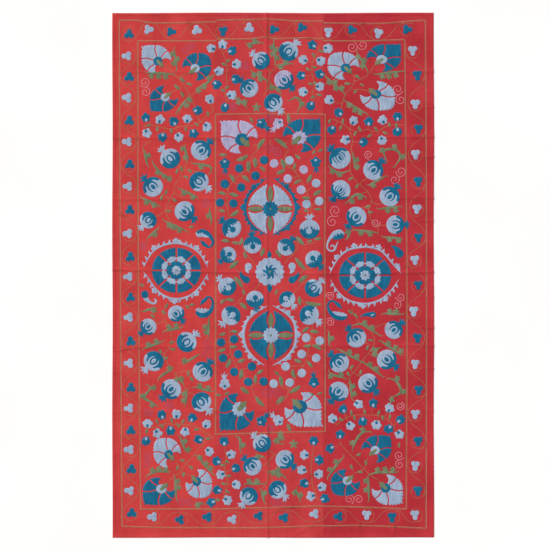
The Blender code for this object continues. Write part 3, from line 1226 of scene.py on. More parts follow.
# A fan reaches this far along and across its opening; power squares its corner, and ends shortens its sides
CARNATIONS = table("x y opens thread heart reach_x reach_y power ends scalloped", """
-51 94.5 up_left pale blue 7.2 7.1 6 0.84 0; -34.5 91.3 up_right blue pale 7.2 6.9 3.3 0.8 0;
-47.8 78.4 down_left blue pale 6.9 6.3 6 0.87 0; 31.6 91.5 up_left pale blue 8.0 7.0 3.4 0.75 0;
47.6 95.2 up_right blue pale 8.6 6.8 12 0.8 0; 45 79.8 down_right pale blue 8.6 7.2 4.2 0.82 0;
-46.2 -78.6 up_left pale blue 6.8 7.4 4 0.8 0; -49.4 -93.8 down_left blue pale 8.4 7.2 5.4 0.68 0;
-33.8 -90.5 down_right pale blue 6.8 7.4 3.4 0.7 0; 44.7 -76.7 up_right blue pale 7.3 6.7 5.4 0.85 0;
32.4 -90.2 down_left blue pale 7.5 6.8 3.5 0.74 0; 49.3 -93.4 down_right pale blue 7.7 7.5 5.4 0.8 0;
-14 60 up_left lilac blue 9.3 8.4 12 0.73 0; 11.4 60.8 up_right blue lilac 9.4 8.3 12 0.78 1;
-15.2 -58.7 down_left blue pale 8.8 9.4 12 0.74 1; 11.6 -57.6 down_right pale blue 9.6 9.0 12 0.68 0
""")

# Fruits, by where the crown points, the threads near it and far from it, and the comb between the two
POMEGRANATES = table("x y crown near far radius comb", """
-18.5 21 up_left blue pale 4.2 0; -9.3 13.6 up blue pale 3.8 0; -20 9.2 down_left blue pale 3.5 0;
5.5 12.6 up_right blue pale 3.7 0; 15.8 20.4 up pale blue 4.2 0; 17.7 7.3 down_right blue pale 3.7 0;
-20.4 -4.8 up_left pale blue 3.9 0; -8.2 -10.3 down blue pale 3.7 0;
-18.7 -17.5 down_left pale blue 4.1 0; 5.9 -10.3 down_right pale blue 3.5 0;
17.5 -5.5 up_right pale blue 3.8 1; 15.6 -17.2 down_right pale blue 4.2 0;
-45.5 51.5 up_left pale blue 4.3 1; -32 55.2 up_right blue pale 4.3 1; -53.1 39.1 up_left blue pale 4.3 1;
-32.9 41.5 down_right pale blue 4.2 1; -39.2 28.4 down_right blue pale 4.3 1;
-55.1 24.5 down_left pale blue 3.6 1; -42.9 -16.6 down_right blue pale 3.5 1;
-55.1 -22.4 down_left blue pale 3.5 1; -38.3 -29.2 up_right pale blue 4.3 1;
-52.7 -37.5 down_left pale blue 4.3 1; -31.2 -42.2 up_right blue pale 4.3 1;
-45.1 -49.9 down_left blue pale 4.3 1; -31.8 -55.5 down_right pale blue 4.2 1;
29.1 51.7 up_left blue pale 4.6 2; 43.8 46.5 up_right blue pale 4.3 1;
29.5 37.8 down_left blue pale 4.2 2; 51 34.9 up_right blue pale 4.3 1; 36.4 26 down_left blue pale 4.3 1;
53.5 22.5 right blue pale 3.9 1; 52.8 -23.8 up_right blue pale 3.9 1; 36.4 -27.3 up_left blue pale 4.2 1;
28.9 -38.3 up_left blue pale 4.2 1; 49.7 -36.8 down_right blue pale 4.2 1;
41.5 -47.3 down_right blue pale 4.2 1; 28.6 -50.9 down_left blue pale 4.2 1;
-5.5 94.6 up_left pale blue 3.8 1; 6.5 98.7 up_right pale blue 4.2 1;
4.5 86.2 down_right blue lilac 4.1 1; -10.8 82.5 up_left blue pale 3.95 1;
-0.2 76.2 down_right pale blue 4.0 1; -5.1 -73.7 up_left pale blue 3.9 1;
4.9 -80.8 down_right blue pale 4.0 1; -9.3 -83.8 up_left blue pale 3.95 1;
-10.9 -96.9 down_left pale blue 3.9 1; 1.7 -94 down_right pale blue 3.9 1
""")

BERRIES = table("x y thread", """
-4.2 50.9 blue; -15.2 47.3 blue; -8 44 blue; -21.5 40.4 blue; -14.3 38.9 blue; -23.6 32.2 blue;
-17.7 31.8 blue; 0.2 49.4 lilac; 7 50.7 pale; 13.2 46.7 lilac; 6.2 42.7 lilac; 18.7 40.7 pale;
12.1 37.8 lilac; 20 32.8 pale; 14.5 31.5 pale; -23.2 -29.3 blue; -17.4 -27.9 blue; -22.3 -36.2 blue;
-15.6 -34.5 blue; -9.6 -39.9 blue; -17.4 -42.3 blue; -11.2 -46.7 blue; -4.4 -46.5 blue; 14.3 -27.3 pale;
20.3 -28.6 pale; 12.3 -34.5 pale; 18.7 -36.2 pale; 5.3 -39.9 pale; 12.4 -42.8 pale; 0 -47.5 pale;
7.1 -47 pale
""")

# Small flowers with a forked tuft
CROWNED = table("x y thread dot crown dot_side", """
-21.5 49.4 blue pale down up; 18.5 50 blue pale down up; -21.5 -47.7 pale blue up down;
17.7 -46.9 blue pale up down; -5.3 67 blue pale down_right up_left; 2.1 67 lilac blue down_left up_right;
-5.3 -63.9 blue pale up_right down_left; 2.1 -63.7 pale blue up_left down_right
""")

# Small flowers, the blue ones with a pale dot and the pale ones with a blue dot
BLUE_FLOWERS = table("x y", """
-56.3 69.5; -43.9 67.8; -33.4 72.7; -49 61; -35.2 62.6; -18.3 99; -16.7 86.5; -25 84.2; -21.5 74;
17 101.5; 12 88; 20.2 88.7; 16.3 74.8; 28.6 71.8; 25.5 64.2; 41.9 67.8; 54.5 70; 54.5 63.3; 39.6 58.8;
-49.2 -61.2; -35.9 -62.5; -45.3 -68.1; -56.2 -72.7; -33.1 -71.9; -25.1 -81.6; -24.9 -94.2; -27.5 -99.7;
-21.8 -72.9; -16.6 -84.7; 17.7 -72.6; 20 -81; 13.5 -91.3; 22.5 -98; 24.8 -75.9; 29.3 -69.8; 30.5 -58.7;
43.8 -56; 55.8 -63.3; 39.2 -64.1; 50.6 -67.3
""")
PALE_FLOWERS = table("x y", """
-50 68.8; -38 69.1; -28.1 77.8; -29.3 65.5; -55.8 62.7; -41.8 60.9; -27.5 100; -22.5 101.8; -16.3 93;
-24 90; -18.5 79.5; 13 95; 20.7 94.5; 13 81; 20.3 83.2; 23.8 100; 24.4 77.3; 35.2 68.2; 48 68.6;
31.6 59.8; 47.8 59.6; -42.7 -60.9; -29.4 -65.3; -55.5 -64.9; -51.2 -69.4; -39 -68.6; -28.3 -77.3;
-23.3 -87.5; -20.3 -98.8; -18.6 -78.6; -16.4 -91.8; 13.5 -78.8; 12.4 -85.4; 19.8 -87.3; 21.3 -92.8;
16.4 -97; 25.9 -62.9; 37.3 -56.5; 51 -58.3; 33.7 -66; 45.1 -65.6; 55.4 -69.8
""")

# Tendrils, wound from their start angle, anticlockwise by hand 1; a scroll is a pair of them
CURLS = table("x y thread start hand", """
41.7 53.3 pink 30 1; 44.8 23.3 pink 120 1; 24.9 -9 pink 300 1; 24.9 -20.4 pink 250 1;
55.6 -57.4 pink 180 1; -12.7 92.8 violet 90 1; -17.5 74.6 violet 30 1; -30.3 31.8 violet 200 1;
-57.2 13.3 violet 60 1; -45.7 -57 violet 0 1; -55.3 -59.9 violet 120 1; -1.3 69.5 violet 90 1;
-1.5 -67.3 violet 270 1
""")
SCROLLS = table("x1 y1 x2 y2 thread hand", """
-56.8 85.2 -56.4 80.9 pink 1; 34.5 100.6 39 101.6 pink -1; 54.6 82 55.9 77.5 pink -1;
56 45.9 53.2 42.3 pink 1; 27.2 28.6 25.7 23.8 pink -1; 55.8 -9.4 54.3 -12.8 pink 1;
55.2 -79 55.4 -83 pink -1; 33.3 -98.3 37.4 -98.4 pink 1; -38.7 99.4 -36 101.7 violet -1;
-2.3 56.3 1.4 54.1 violet 1; -28.8 -29.9 -29.2 -34.2 violet -1; -3 -51.8 1.5 -51.9 violet 1;
-55.4 -79.3 -56 -82.8 violet 1; -41 -99.5 -37.2 -100 violet 1; 0.1 -99.8 4.1 -99.6 violet 1
""")

# Curled leaf sprigs: the course of each one, and after a bar the places of its lobes if they are set
SPRIGS = """
-44 100 -42.5 90.5; -56 89.3 -50 89 -44 88.6 | -53.8 87 -50.5 86.8 -47.5 86.8;
-26.5 88.5 -29 85 -34 82.3 | -32.8 81 -30.6 83 -28.6 87; -12 102 -5 102.7; 0 103.5 0.8 93.5;
1.5 92.5 8 93.5; -10 90 -3 86; -1.5 84.5 3.5 80; 36.5 98.5 41.5 90;
44.5 88.5 57 90 | 48 87 51 86.8 54 87.5; 22.5 88 31.5 80; -37.5 78.5 -43 71.5 | -36.5 77 -37.5 74.5;
-57 55.5 -55.5 48.3 | -54.5 53; -53.5 50 -50 45.5 -45.5 42 | -51 45.3 -47.8 43.5 -46 42.6;
-39.2 57 -37.8 50.5 | -40.2 55.8 -38.8 52; -36 49.5 -28 48 -28 45 | -31.8 47.4;
-42 38.5 -33.5 34.5 | -39.5 36.2 -35.5 34.3; -58.5 34.5 -50 30.5 | -56 31.8 -52.5 31;
-48.5 24.3 -38 19.5 | -46 21.8 -44 21 -41.5 19.6; -28.3 29.5 -27.3 23 | -28.8 26.3;
-50.5 21 -55.5 16.5 | -52 18; -15.5 77.8 -11.8 74.2;
7 77 9.4 78.4 11.6 77.2 11.8 74.8 10.4 72.4 | 12.6 75.6;
31 77.2 36 74 41.5 71 | 33.3 74.9 35.6 72.4 38 71.4; 34.9 54.3 36 47 | 37 51 36.9 48;
24.3 48 29 45 33 46.3 | 29 44.7 25.8 45.7; 41.8 39.8 49.5 44 | 44 39.5;
32 31.9 36.5 35.8 40.5 34.5 | 35 32.5 38 34; 46 29.3 56 30.6 | 50.5 28.2 54 28.2;
35 20.2 45.5 19 | 38.5 18.6 42.5 18.1; 33.8 19.5 32.2 16; 48 17 56.3 16.4 | 51 15.7 55 15;
49.5 50.7 48.7 55 53.5 55.5 55.8 52.5 54 49 53 47.7 | 47.5 55.2 53.2 57.2 57 52.5;
-57.7 -15.8 -52.3 -14 | -52.5 -15.6; -48.3 -24.3 -40.3 -22.8 | -46.3 -22 -43 -21.3;
-28.5 -18.5 -28.7 -27 | -31 -22.5 -30 -25; -57.2 -32 -48.5 -28.8 | -55.3 -30 -51.8 -28.5;
-32.8 -34.6 -39.8 -38.8 | -39.5 -37; -51 -45.5 -48 -43 -44.5 -41 | -46 -40.5;
-55.5 -47.8 -54.5 -50 -57 -53.5 -54 -55.5 -51.5 -57.5 | -51.8 -49 -57.6 -53 -53.5 -57;
-43 -44.5 -39.5 -47.5; -38.2 -50 -38.8 -57 | -39.7 -52 -40 -55; -35 -48.8 -27 -51 | -32.5 -48 -28.8 -49;
-41.5 -70.2 -38.5 -77.5 | -38.4 -72.5 -37 -76;
-56 -88 -51 -86 -46 -86.5 | -53.5 -85.3 -50.5 -84.6 -47.5 -85;
-43.5 -88 -42.8 -98.5 | -41.8 -90.3 -41.2 -93; -34 -79 -26.5 -87.5 | -32.5 -80 -29.6 -82.4 -27.8 -84.5;
-34 -100 -30.5 -100.3; -16.5 -70.8 -14.8 -72 -14.7 -77.5 | -12.9 -74.5;
4.8 -71.5 2.5 -70.5 2 -73 3.8 -74.2; -7.5 -78.8 -4 -80; -2.5 -86.5 1 -86 5.5 -89;
-12.5 -91.5 -4 -91.5 | -10.8 -90 -7.5 -90; -5.5 -94 -4 -100 | -3.6 -95.5; 9.7 -94 11.8 -99;
48 -16.5 57 -17 | 51 -15.3 53.8 -15.2; 34.8 -21.8 39.5 -21.5 47 -26.5 | 40.2 -20.3 43.4 -22.6;
24.3 -24.5 24.5 -30.8 | 26 -27.5; 47 -28.5 56.3 -35 | 50.5 -29.5 54 -31 56.3 -32.4;
28.3 -32.2 39 -38 | 33.5 -33 36.7 -35; 43.2 -34.8 46.5 -31.5;
39 -38 44 -41 48 -44.5 | 42.5 -38.8 45.2 -40.9; 24.2 -42 26 -43.5 31.5 -45 | 25 -44.6 29.6 -43.2;
33.5 -45.5 34.5 -54.5 | 35.3 -48.5 36 -51.8;
50.5 -45 54 -46.5 56 -51 52 -53.5 | 54.6 -44.8 57.5 -51 52 -55;
34.5 -76.5 36.5 -72 39 -69 42.5 -68.5 | 34.2 -73.5 39 -67.4;
23.5 -89 27.5 -83.5 31 -79.5 | 24.2 -85 27 -81.6;
42 -87.5 46 -86.5 54.5 -86.5 | 45.5 -85 49 -84.6 52.3 -84.8; 41.5 -88 42 -99 | 40.4 -90.3 40.1 -94.3
"""

# Plain leaves, by their two ends
LEAVES = table("x1 y1 x2 y2", """
-41 87.5 -38.8 85.2; -38.5 84.8 -35.8 83.8; -43.8 84 -41.2 82; -41 81 -39.5 78.5; 31 84.5 34 84.4;
35.6 88.4 38 86.8; 38 84.6 40 83.6; 35 80.2 36.8 81.6; 6.2 71 6.5 67; -3.8 60.3 -7 55.5; 0.5 60.3 6 56;
-16.5 50.8 -11.3 53.2; -11.3 50.5 -11 45.8; -8.4 52 -8 47.5; -6 48 -3.7 46; 3.2 51.3 4.6 46.8;
1.2 44.8 5 46.5; 9.8 49.5 9 46.5; -19.5 44.5 -17.3 41; -14 44 -10.8 41.3; 16.8 44.5 14.6 40.8;
9 40.5 12 42; 9.5 53.5 12 51.5; -24 53.5 -20.5 53.3; -24.5 36.3 -21 35.8; -19.5 36.3 -15.5 35.2;
-24.3 28.8 -21.2 28.2; -15.5 28.8 -19 26.2; 12.5 34.5 16 34.2; 21 37.5 17.5 35.2; 21 29.3 17.8 29.3;
-23 15.4 -19.4 14.9; -18.2 15 -15 14.5; -13.9 16.8 -15 13.4; -12.8 10.8 -12 7.5; -15.5 6.5 -19.5 3;
-4.2 12.2 -5.5 8.5; 0.8 11.3 3 8; 10 17.2 13.3 13.5; 21 16.6 17.8 15.9; 17 15.6 14.5 15; 9.5 8 14 2.5;
-17.3 -0.5 -13.7 -5.3; -13.5 -5.8 -13 -8.5; -23.5 -12.3 -21 -10.5; -21 -10.3 -17.3 -11; -15 -12 -12 -14.8;
15 0 11 -3; 11.3 -9 11.5 -13; 14 -11.5 21 -12.5; 2 -6 0.8 -8.5; 12.5 -25 15.5 -22.5; 16 -24.5 20 -25;
-19 -24.5 -15.5 -24.8; -24 -26 -21 -25; -19.5 -31.2 -16 -31.2; -24.5 -33.3 -21 -32; 13 -31 16.5 -30.5;
17 -30.5 21 -32.5; -16 -38 -12.5 -36.8; 9 -36.8 12.5 -38; -19 -36.5 -21 -40.5; 14.8 -37.5 17 -40.5;
-14.2 -41 -15 -45.5; -7.5 -43.3 -4.5 -41.3; -7.9 -43.5 -8 -47.5; 0.3 -42 2.5 -44; 3 -44 3.8 -48.5;
8.3 -41 9.3 -45; -14.5 -49 -10.8 -51.8; -8 -53 -4 -57.5; 11.8 -48.3 7 -51.5; 4.5 -53 1 -56.2;
6 -65 7.5 -68.5; 32.8 -15 34.8 -17; 35 -16.5 37 -18.5
""")

# Small leaves on side stalks, by their middles
SMALL_LEAVES = table("x y", """
-20 94.3; -22 93; -20.5 82.8; -22.3 81.5; 17.5 97; 18 91.8; 15.3 91; 18.5 84.8; 16.3 84.5; 21 99; 20 79.5;
17.3 78.5; -16 78; -38.5 64.5; -34 66.5; -44.9 63.8; -51 64.5; -55 66.3; -42.5 46; -36.8 46.2; -38.6 43.2;
-40.5 47; -29 71.2; -28.5 77; -47.3 36.8; -49.5 34.3; -43.5 33.5; -46.2 28.4; -36.2 21.3; -9.5 68.5;
17.5 54.5; 20.5 55.3; 14.2 28.5; 24.8 68; 30.4 68; 29.5 65; 36 62.5; 42 61.8; 38 64.8; 44.8 64.5; 51 66.5;
49 62.8; 54 66; 34 42.5; 36.5 39.5; 41.5 30.3; 42.5 27.8; -47.3 -13.2; -48.5 -16.2; -38 -13.8; -36 -12.8;
-53.3 -17.8; -44.8 -29.5; -44.3 -32.3; -49.8 -33.3; -47.5 -36; -37.8 -43; -36.3 -45.5; -51.3 -64;
-44.9 -63.5; -40 -64; -49 -66; -42 -65.8; -34 -67.5; -56 -68.3; -28.8 -71.5; -40.2 -81.3; -42.5 -84.5;
-36.5 -84.5; -39.5 -87.5; -24.7 -98.7; -24.3 -52.6; -20.5 -51.8; 16.8 -51.8; 20.3 -51.8; -20.5 -82;
-22.3 -83.5; -19.8 -88; -22 -91.5; -20.5 -95; 42.6 -28.3; 41.2 -31.7; 34.5 -40.3; 33 -43; 38.2 -42.5;
34.3 -60.3; 40.2 -59.7; 46.2 -60.3; 47.8 -62.5; 51 -62; 29.7 -63; 35.5 -62.5; 55.2 -74.5; 37.3 -78.5;
40.5 -82.3; 34.3 -84; 38 -86.2
""")

# The lines that frame the border and the middle field, each as its course
BORDER_LINES = """
-68 112.3 -67.5 0 -66.8 -110.2; 66.7 112.4 67.2 0 67 -111.1; -68 112.3 -60 112.3 -51 111.2 -25.2 111.7;
-25.2 112.4 -3 112.8 10 112.1 21.9 112; 21.9 111.2 47 111 60 112 66.7 112.4;
-66.8 -110.2 -45 -110.8 -25.2 -110.7; -25.2 -110.9 0 -110.7 21.9 -109.8; 21.9 -110.1 40 -109.9 67 -111.1;
-59.9 103.3 -59.6 0 -58.6 -102.7; 57.6 103.8 58.5 0 58.3 -102.5; -59.9 103.3 -40 103.3 -25.2 103.4;
-25.2 104 -10 104.3 -4 105 0 104.3 13 104.6 21.9 104.1; 21.9 103.3 40 103.3 57.6 103.9;
-58.6 -102.7 -40 -102.6 -25.2 -102.7; -25.2 -102.6 0 -101.9 21.9 -101.2;
21.9 -101.4 40 -101.8 58.3 -102.6; -25.7 71 -25.6 0 -25.7 -69.8; 22.6 71 22.4 0 22.6 -68.5;
-25.7 71 -2 71.3 22.6 71; -25.7 -69.8 0 -69 22.6 -68.5
"""


def offset_line(points, aside):
    """A line beside another one."""
    line = smooth_line(points, 3.0)
    result = []
    for index, (x, y) in enumerate(line):
        before, after = line[max(0, index - 1)], line[min(len(line) - 1, index + 1)]
        run = math.dist(before, after) or 1.0
        result.append((x - (after[1] - before[1]) / run * aside, y + (after[0] - before[0]) / run * aside))
    return result


# The courses of the vines that carry the flowers and the fruit
VINES = """
-47.5 92.3 -45 90.3 -42.5 87.5 -39.5 84 -37.5 80.5 -35.5 76.5 -33.5 70.5 -32 67.8 -30 70 -26.5 72.5;
-37 89.3 -39.5 88.4 -41.8 86.6; -46 80.5 -43.5 81.5 -40.3 82.8;
-26.8 88.5 -28 85.5 -31 83 -35 80.3 -38 77.5 -41 73 -42 70.9;
-57.5 65.7 -54 66.4 -50 65.4 -45 64.5 -40.5 65.8 -36 66.2 -32 67.8;
-54 59.3 -57.5 56.8 -56.8 53 -55.3 48.8; 34 89.5 35.5 86.6 34.6 83.6 32 80.5 30.6 77.6 29.5 73 27.5 69.5;
44 92.3 42 89 39 86.8 35.5 85.6; 43 80.8 40 81.8 36.5 82 33.5 81.8; 22.7 88.3 24.3 85.2 28 82.5 31.2 80.4;
26 69 30 67 33 64.8 37 63.4 41 64.4 45 63.4 49 65.4 53 66.6 57 66.4;
33 64.8 34.6 60 34.2 56 33.8 50.5 33.6 46;
-22.6 99 -22 97 -21 95 -20.5 92 -20.8 88 -20.5 84 -21.5 80 -20.6 76.8;
20.5 101 19.5 99 18.4 96.5 17 93.5 16.8 90 17.3 87 18 84 17 80 17.4 77.4;
-2.4 91.4 -1.8 88.5 -2.5 85 -2.8 82 -4.4 79.2; 3.4 95.5 1.4 92.6 -1.8 88.5; -7.6 86.2 -5 86.6 -2.5 85;
-2.8 82 -1.5 80.4; -19.6 25.4 -20.4 31 -20.2 37.5 -17.8 41.6 -14 45 -11 48 -9.6 52.4 -7 55.5;
16.4 26.2 16.4 30 15.2 35 13.4 39 12.2 42 9 46.2 6 48.4 5 52.2 6.6 55.6; -20.4 31 -22.6 31.9;
-20.4 33 -18.8 32.2; -20.2 37.5 -21 39; -17.8 41.6 -15.4 39.8; -14 45 -15 46; -12.5 46.6 -9.4 44.8;
-10 50.6 -5.8 50.9; 16.4 30 18.6 32.2; 16.4 30 15.4 30.8; 13.4 39 12.8 38.4; 14.4 37 17.6 39.8;
11 44 8 43; 9 46.2 12 46.9; 7 47.6 7 49; 6 48.4 2 49.2; -11.7 16.5 -13.6 13.2 -12 9.4 -9.5 7 -8.2 4.6;
-19 14.6 -15 13.8; -19.6 5.8 -17 3.6 -15.4 1.4; 8 16.4 10.6 13.4 8.6 9.4 6.4 7.6 5 5.4; 18.2 14.6 13 13.6;
17 3.4 13.4 2.8 11.6 0.6; -18.4 -1.2 -15.6 -3.4 -13.4 -6 -12 -8.8; -9 -6.6 -7.4 -5 -6.2 -3.4;
-18 -13.6 -16 -11.6 -13.6 -9.2; 15.6 -2 12.4 -3.4 10.4 -6 8.8 -8; 14 -13.6 13 -11.4 11.2 -9.4;
-19.8 -21.8 -19.4 -27 -19 -33 -17.4 -38 -14 -43 -10 -48.4 -8.4 -52.8 -5 -57;
17 -21.4 16.6 -27 15.2 -33 14 -38 10.5 -43 7.4 -49 5 -54 1.6 -57; -19.4 -29 -22 -29.4;
-19.3 -27 -18 -27.6; -18.6 -34 -21 -35.6; -18.2 -35.6 -16.8 -35; -16.6 -39.4 -16.9 -41;
-15 -41.6 -11 -40.4; -12.4 -45 -11.8 -46; -10 -48.4 -5.6 -46.8; 16.4 -28 15.6 -27.6; 16.6 -27 19 -28.2;
15 -33.6 13.4 -34.2; 14.8 -34.6 17.4 -35.8; 13 -39.4 6.4 -40; 12.2 -41 12.4 -41.6; 8.4 -47 8 -46.8;
7 -50 1.4 -48.2; -42.4 49 -40 46.6 -38.4 49.4 -38.4 53;
-40 46.6 -41.6 42.6 -43.4 40 -44 36.4 -46 32.8 -47.5 29 -46.2 25 -44.6 22.2; -33 45.8 -37 46.4 -40 46.6;
-49.8 36.6 -46.8 34.4 -46 32.8; -42.6 30.6 -46.2 30.4; -51.8 26 -49 27.6 -47.5 29; -44 36.4 -40 34.6;
33.6 46 35.2 43 38 40 41.4 37 43 33 41.8 29 42.8 24.8 45.6 21.6 46 19; 41.5 43 38.8 41.6 38 40;
31.6 34.2 35 35.4 41.4 37; 47.8 32 45 31.4 43 33; 38.2 29.8 40 30 41.8 29; 49.6 22.4 46.6 22 45.6 21.6;
-46.6 -11.6 -49 -16.6 -47 -21 -45 -25.6 -45.6 -31 -48 -34.6 -46.4 -39 -43.5 -43 -40 -47 -38.6 -52;
-51.6 -21.6 -48.8 -20 -47 -21; -42.5 -29.4 -45 -29; -49 -36.4 -48 -34.6; -35 -41.6 -39.6 -42 -43.5 -43;
-43.4 -46 -42.2 -44.6; -35 -52.4 -38 -51;
34.2 -14 36 -18 38 -21 43 -24.8 44.4 -29 42.4 -33 39.6 -36.6 36.5 -41 33.4 -45 34 -50 34.6 -54.5;
49.4 -21 46 -22 43 -24.8; 40 -29 42.4 -30.6; 32.6 -40 35 -42.6; 45.6 -34.8 42.4 -33; 38.4 -44.6 35.6 -43;
32 -48.4 33.4 -46; -43 -81.8 -41.5 -84.4 -40.6 -86.4; -46 -90.2 -43.4 -88 -40.6 -86.4;
-36.8 -87.6 -40.6 -86.4 -38 -82 -35 -79 -33 -76 -30.6 -73.4 -30 -69; 41.5 -79.8 40.6 -82.6 39.6 -85;
35.6 -87 37.6 -86 39.6 -85; 46 -90 42.6 -87.6 39.6 -85 36 -81 33 -78 30.4 -75 29 -72.6;
-57.6 -66.2 -53 -66.8 -48 -65.2 -43 -65.4 -38 -65.6 -34 -66.6 -30 -69 -26.4 -71.4;
27 -66 31 -63 35 -61.4 40 -61.2 45 -61.4 49 -62.6 53 -66;
-21.5 -76 -20.8 -80 -21.6 -84 -20.6 -88 -20.4 -92 -21.4 -96 -23 -98.4;
17.4 -75.6 17 -80 16.4 -84 16.8 -88 17 -92 18.4 -95.6 19.6 -99; -2.4 -76.8 0.4 -78.4 2.2 -79.6;
0.4 -78.4 -2.6 -82 -5.4 -83.8; -2.6 -82 -2.2 -87 -3.6 -92 -6.4 -94.4; -2.2 -87 0.2 -90.8;
-9 68.6 -11.5 70; 6.4 67 6 62.4; -1.6 60 -1.6 57.4; -6.6 58 -9 57.2; 4 58 6.4 58.6
"""


def stitch_vines():
    """The vines are single rows of chain stitch, and flowers join them where they pass."""
    for points, _ in courses(VINES):
        chain("vine", points, 0.25)
        vine_places.extend(smooth_line(points, 0.8))


def stitch_frame_lines():
    """Each frame line is two rows of chain stitch side by side, one straw and one olive."""
    for points, _ in courses(BORDER_LINES):
        chain("straw", offset_line(points, 0.18), 0.23, 3.0)
        chain("olive", offset_line(points, -0.18), 0.23, 3.0)


def left_border_x(x, y):
    """The left border runs in a little towards the bottom end."""
    return x + 1.2 * (LEFT_BORDER_YS[0] - y) / 200


def stitch_border():
    """The trefoils: those of the ends from their table, and those of the sides in turns of two kinds."""
    for row in TREFOILS:
        trefoil(row.x, row.y, row.thread, (row.first, row.second, row.third))
    for index, y in enumerate(LEFT_BORDER_YS):
        if index % 2:
            trefoil(left_border_x(-63.7, y), y, "blue", (90, 215, 325))
        else:
            trefoil(left_border_x(-64.6, y), y, "pale", (180, 50, 310))
    for index, (x, y) in enumerate(RIGHT_BORDER):
        trefoil(x, y, "blue" if index % 2 else "pale", (135, 45, 270))


def border_vine(spots, centre, sideways):
    """The vine in one side of the border: it swings round each trefoil and hooks back over it."""
    run = math.dist(spots[0], spots[-1])
    forward = ((spots[-1][0] - spots[0][0]) / run, (spots[-1][1] - spots[0][1]) / run)
    sides = [1 if index % 2 else -1 for index in range(len(spots))]
    wave = []
    for side, here, ahead in zip(sides, spots, spots[1:]):
        for step in range(8):
            swing = math.cos(math.pi * step / 8)
            aside = side * 3.25 * math.copysign(abs(swing) ** 0.62, swing)
            wave.append((between(here[0], ahead[0], step / 8) + sideways[0] * aside,
                         between(here[1], ahead[1], step / 8) + sideways[1] * aside))
    tips = []
    for spot, side, ahead in ((spots[0], sides[0], -1), (spots[-1], sides[-1], 1)):
        tips.append((spot[0] + sideways[0] * side * 2.6 + forward[0] * ahead * 2.4,
                     spot[1] + sideways[1] * side * 2.6 + forward[1] * ahead * 2.4))
    chain("vine", [tips[0]] + wave + [tips[1]], 0.18)
    for spot, side in zip(spots, sides):
        base = bearing((0, 0), (sideways[0] * side, sideways[1] * side))
        hand = side if centre > 0 else -side
        hook = []
        for step in range(13):
            reach = between(3.35, 2.75, (step / 12) ** 1.5)
            hook += moved([polar(reach, base + hand * between(24, 215, step / 12))], *spot)
        chain("vine", hook, 0.17)


def stitch_border_vines():
    """The vine along each of the border's four sides."""
    top = [(row.x, row.y) for row in TREFOILS[:TOP_TREFOILS]]
    bottom = [(row.x, row.y) for row in TREFOILS[TOP_TREFOILS:]]
    left = [(left_border_x(-64.0, y), y) for y in LEFT_BORDER_YS]
    right = [(row.x, row.y) for row in RIGHT_BORDER]
    border_vine(top, 1, (0, 1))
    border_vine(bottom, -1, (0, 1))
    border_vine(left, 1, (-1, 0))
    border_vine(right, -1, (1, 0))


def thorns_between(buds):
    """Thorns along an arc, about evenly spaced between its ends and its buds."""
    stops = [0.0] + [bud[0] for bud in buds] + [1.0]
    shares = []
    for start, end in zip(stops, stops[1:]):
        count = max(1, round((end - start) / 0.08))
        shares += [between(start, end, (k + 1) / (count + 1)) for k in range(count)]
    return [(share, 1.7) for share in shares]


# A side medallion's two arcs have their buds by their shares along the arc and their sizes
SideMedallion = namedtuple("SideMedallion", "x y radius_x radius_y upper upper_buds lower lower_buds")
SIDE_MEDALLIONS = (
    SideMedallion(-42.8, 2.4, 10.9, 10.05,
                  upper=path("-57.3 3.7 -53.5 10.2 -49 13.2 -43 14.4 -37 13 -32.4 9.6 -28.8 3.5"),
                  upper_buds=((0.24, 1.05), (0.5, 1.1), (0.76, 1.05)),
                  lower=path("-57.3 1.9 -55 -1.3 -51.7 -6 -47.6 -9.1 -42.6 -10.2 -37 -8.8 -32.6 -5 -28.9 1"),
                  lower_buds=((0.24, 1.05), (0.5, 1.1), (0.76, 1.05))),
    SideMedallion(40.2, 0.2, 11.6, 10.2,
                  upper=path("24.7 1 28.2 7.4 33 11.4 40 12.7 44.8 12 47.6 10.7 50.4 7.8 53.2 4.3 56.2 1"),
                  upper_buds=((0.18, 1.0), (0.38, 1.05), (0.655, 1.05), (0.92, 1.0)),
                  lower=path("25 -1.5 27 -5.3 29.9 -8.7 33.2 -10.9 37.1 -12 41 -12.3 44.8 -11.5"
                             " 48.1 -9.8 51 -7.2 53 -4.8 55 -1.5"),
                  lower_buds=((0.2, 1.0), (0.485, 1.05), (0.755, 1.05))),
)


def stitch_side_medallion(form):
    """A blue wheel of eight parts with a pale cloud on each, a blue rosette and a pale flower."""
    x, y, radius_x = form.x, form.y, form.radius_x
    squash = form.radius_y / radius_x
    for k in range(8):
        part = petal(radius_x * 0.33, lambda a: radius_x, 45 * k, 45 * k + 45, 6, 0.38, depth=0.032)
        lay("blue", [(x + px, y + py * squash) for px, py in part])
        bumps = [(turn + rng.uniform(-9, 9), 0.88, rng.uniform(0.36, 0.46)) for turn in range(0, 360, 51)]
        cloud = [(px * 1.08, py * 1.72) for px, py in lobed(bumps, 1.0, 42)]
        swing = 45 * k + 22.5
        out_x, out_y = polar(radius_x * 0.505, swing)
        lay("pale", placed(cloud, x + out_x, y + out_y * squash, swing), 1)
    lay("blue", placed(rosette(radius_x * 0.385, 12, 0.1, squash), x, y), 2)
    flower = lobed([(45 * k + 10, 1.6, 0.6) for k in range(8)], 1.7)
    lay("pale", placed(flower, x, y, 0.0, radius_x / 10.9), 3)
    lay("green", placed(oval(0.55, 0.5, 12), x, y), 4)
    thorny_arc(form.upper, "pale", 0.75, thorns_between(form.upper_buds), form.upper_buds, 1, 1.35)
    thorny_arc(form.lower, "pale", 0.75, thorns_between(form.lower_buds), form.lower_buds, -1, 1.35)


